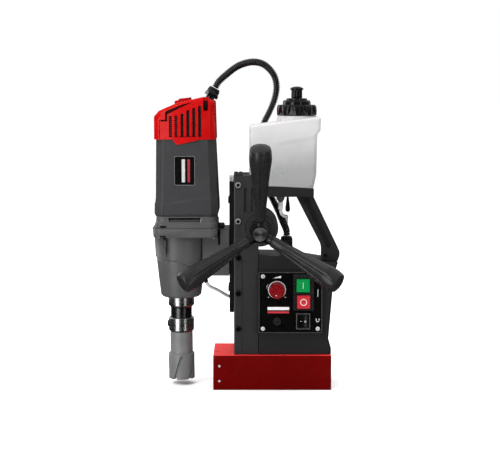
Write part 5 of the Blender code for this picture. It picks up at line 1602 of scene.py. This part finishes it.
def make_stage():
    floor = bpy.data.meshes.new("floor")
    reach = 30
    floor.from_pydata([(-reach, -reach, 0), (reach, -reach, 0), (reach, reach, 0), (-reach, reach, 0)], [],
                      [(0, 1, 2, 3)])
    paper = Finish("studio_floor", grey(0.97), 0.9, specular_ior_level=0.0)
    paper.tint(paper.ranged(paper.noise(3, 2), 0.3, 0.7, 0.0, 0.3), grey(0.94))
    floor.materials.append(paper.material)
    made = bpy.data.objects.new("floor", floor)
    bpy.context.scene.collection.objects.link(made)
    made.visible_glossy = False  # so that low parts reflect the soft lights and not the floor
    make_world()
    middle_height = (0, 0, 0.4)
    softbox("key_light", -40, 1.2, 1.05, (0.6, 0.6), 14, reflects=False)
    softbox("front_fill", 0, 1.9, 0.6, (1.2, 1.2), 5, reflects=False)
    softbox("top_light", 180, 0.05, 1.7, (1.3, 1.3), 18, reflects=False)
    softbox("wide_reflection", -38, 1.35, 0.4, (0.6, 2.0), 10, middle_height, lights=False)
    softbox("thin_reflection", 33, 1.35, 0.4, (0.14, 2.0), 2.2, middle_height, lights=False)
    softbox("rim_left", -125, 1.5, 0.6, (0.7, 1.2), 6)
    softbox("rim_right", 130, 1.5, 0.6, (0.7, 1.2), 1.4)


def make_world():
    """White behind the object, and a soft sky that is brighter overhead for light and reflections."""
    world = bpy.data.worlds.new("studio")
    bpy.context.scene.world = world
    world.use_nodes = True
    tree = world.node_tree
    direction = add_node(tree, "TexCoord")
    parts = add_node(tree, "SeparateXYZ", Vector=direction.outputs["Generated"])
    sky = add_node(tree, "MapRange", Value=parts.outputs["Z"], From_Min=0.0, From_Max=0.5, To_Min=0.04,
                   To_Max=1.5)
    front = add_node(tree, "MapRange", Value=parts.outputs["Y"], From_Min=-0.9, From_Max=0.1, To_Min=0.3,
                     To_Max=1.0)
    both = add_node(tree, "Math", i0=sky.outputs["Result"], i1=front.outputs["Result"])
    both.operation = "MULTIPLY"
    seen = add_node(tree, "LightPath")
    dimmer = add_node(tree, "MapRange", Value=seen.outputs["Is Glossy Ray"], To_Min=1.0, To_Max=0.4)
    soft = add_node(tree, "Math", i0=both.outputs[0], i1=dimmer.outputs["Result"])
    soft.operation = "MULTIPLY"
    choose = add_node(tree, "Mix", i0=seen.outputs["Is Camera Ray"], i2=soft.outputs[0], i3=1.0)
    backdrop = tree.nodes["Background"]
    tree.links.new(choose.outputs[0], backdrop.inputs["Strength"])
    backdrop.inputs["Color"].default_value = (1, 1, 1, 1)


def main():
    make_camera()
    make_stage()
    make_magnet()
    make_column()
    make_gib()
    make_slide()
    make_feed()
    make_gear_case()
    make_cover()
    make_bracket()
    make_motor()
    make_motor_cap()
    make_spindle()
    make_housing()
    make_panel()
    make_switches()
    make_rocker()
    make_knob()
    make_fuse()
    make_arm()
    make_tray()
    make_bottle()
    make_bottle_cap()
    make_tap()
    make_conduit()
    make_coolant_tube()


main()
bpy.context.scene.view_settings.view_transform = "Standard"
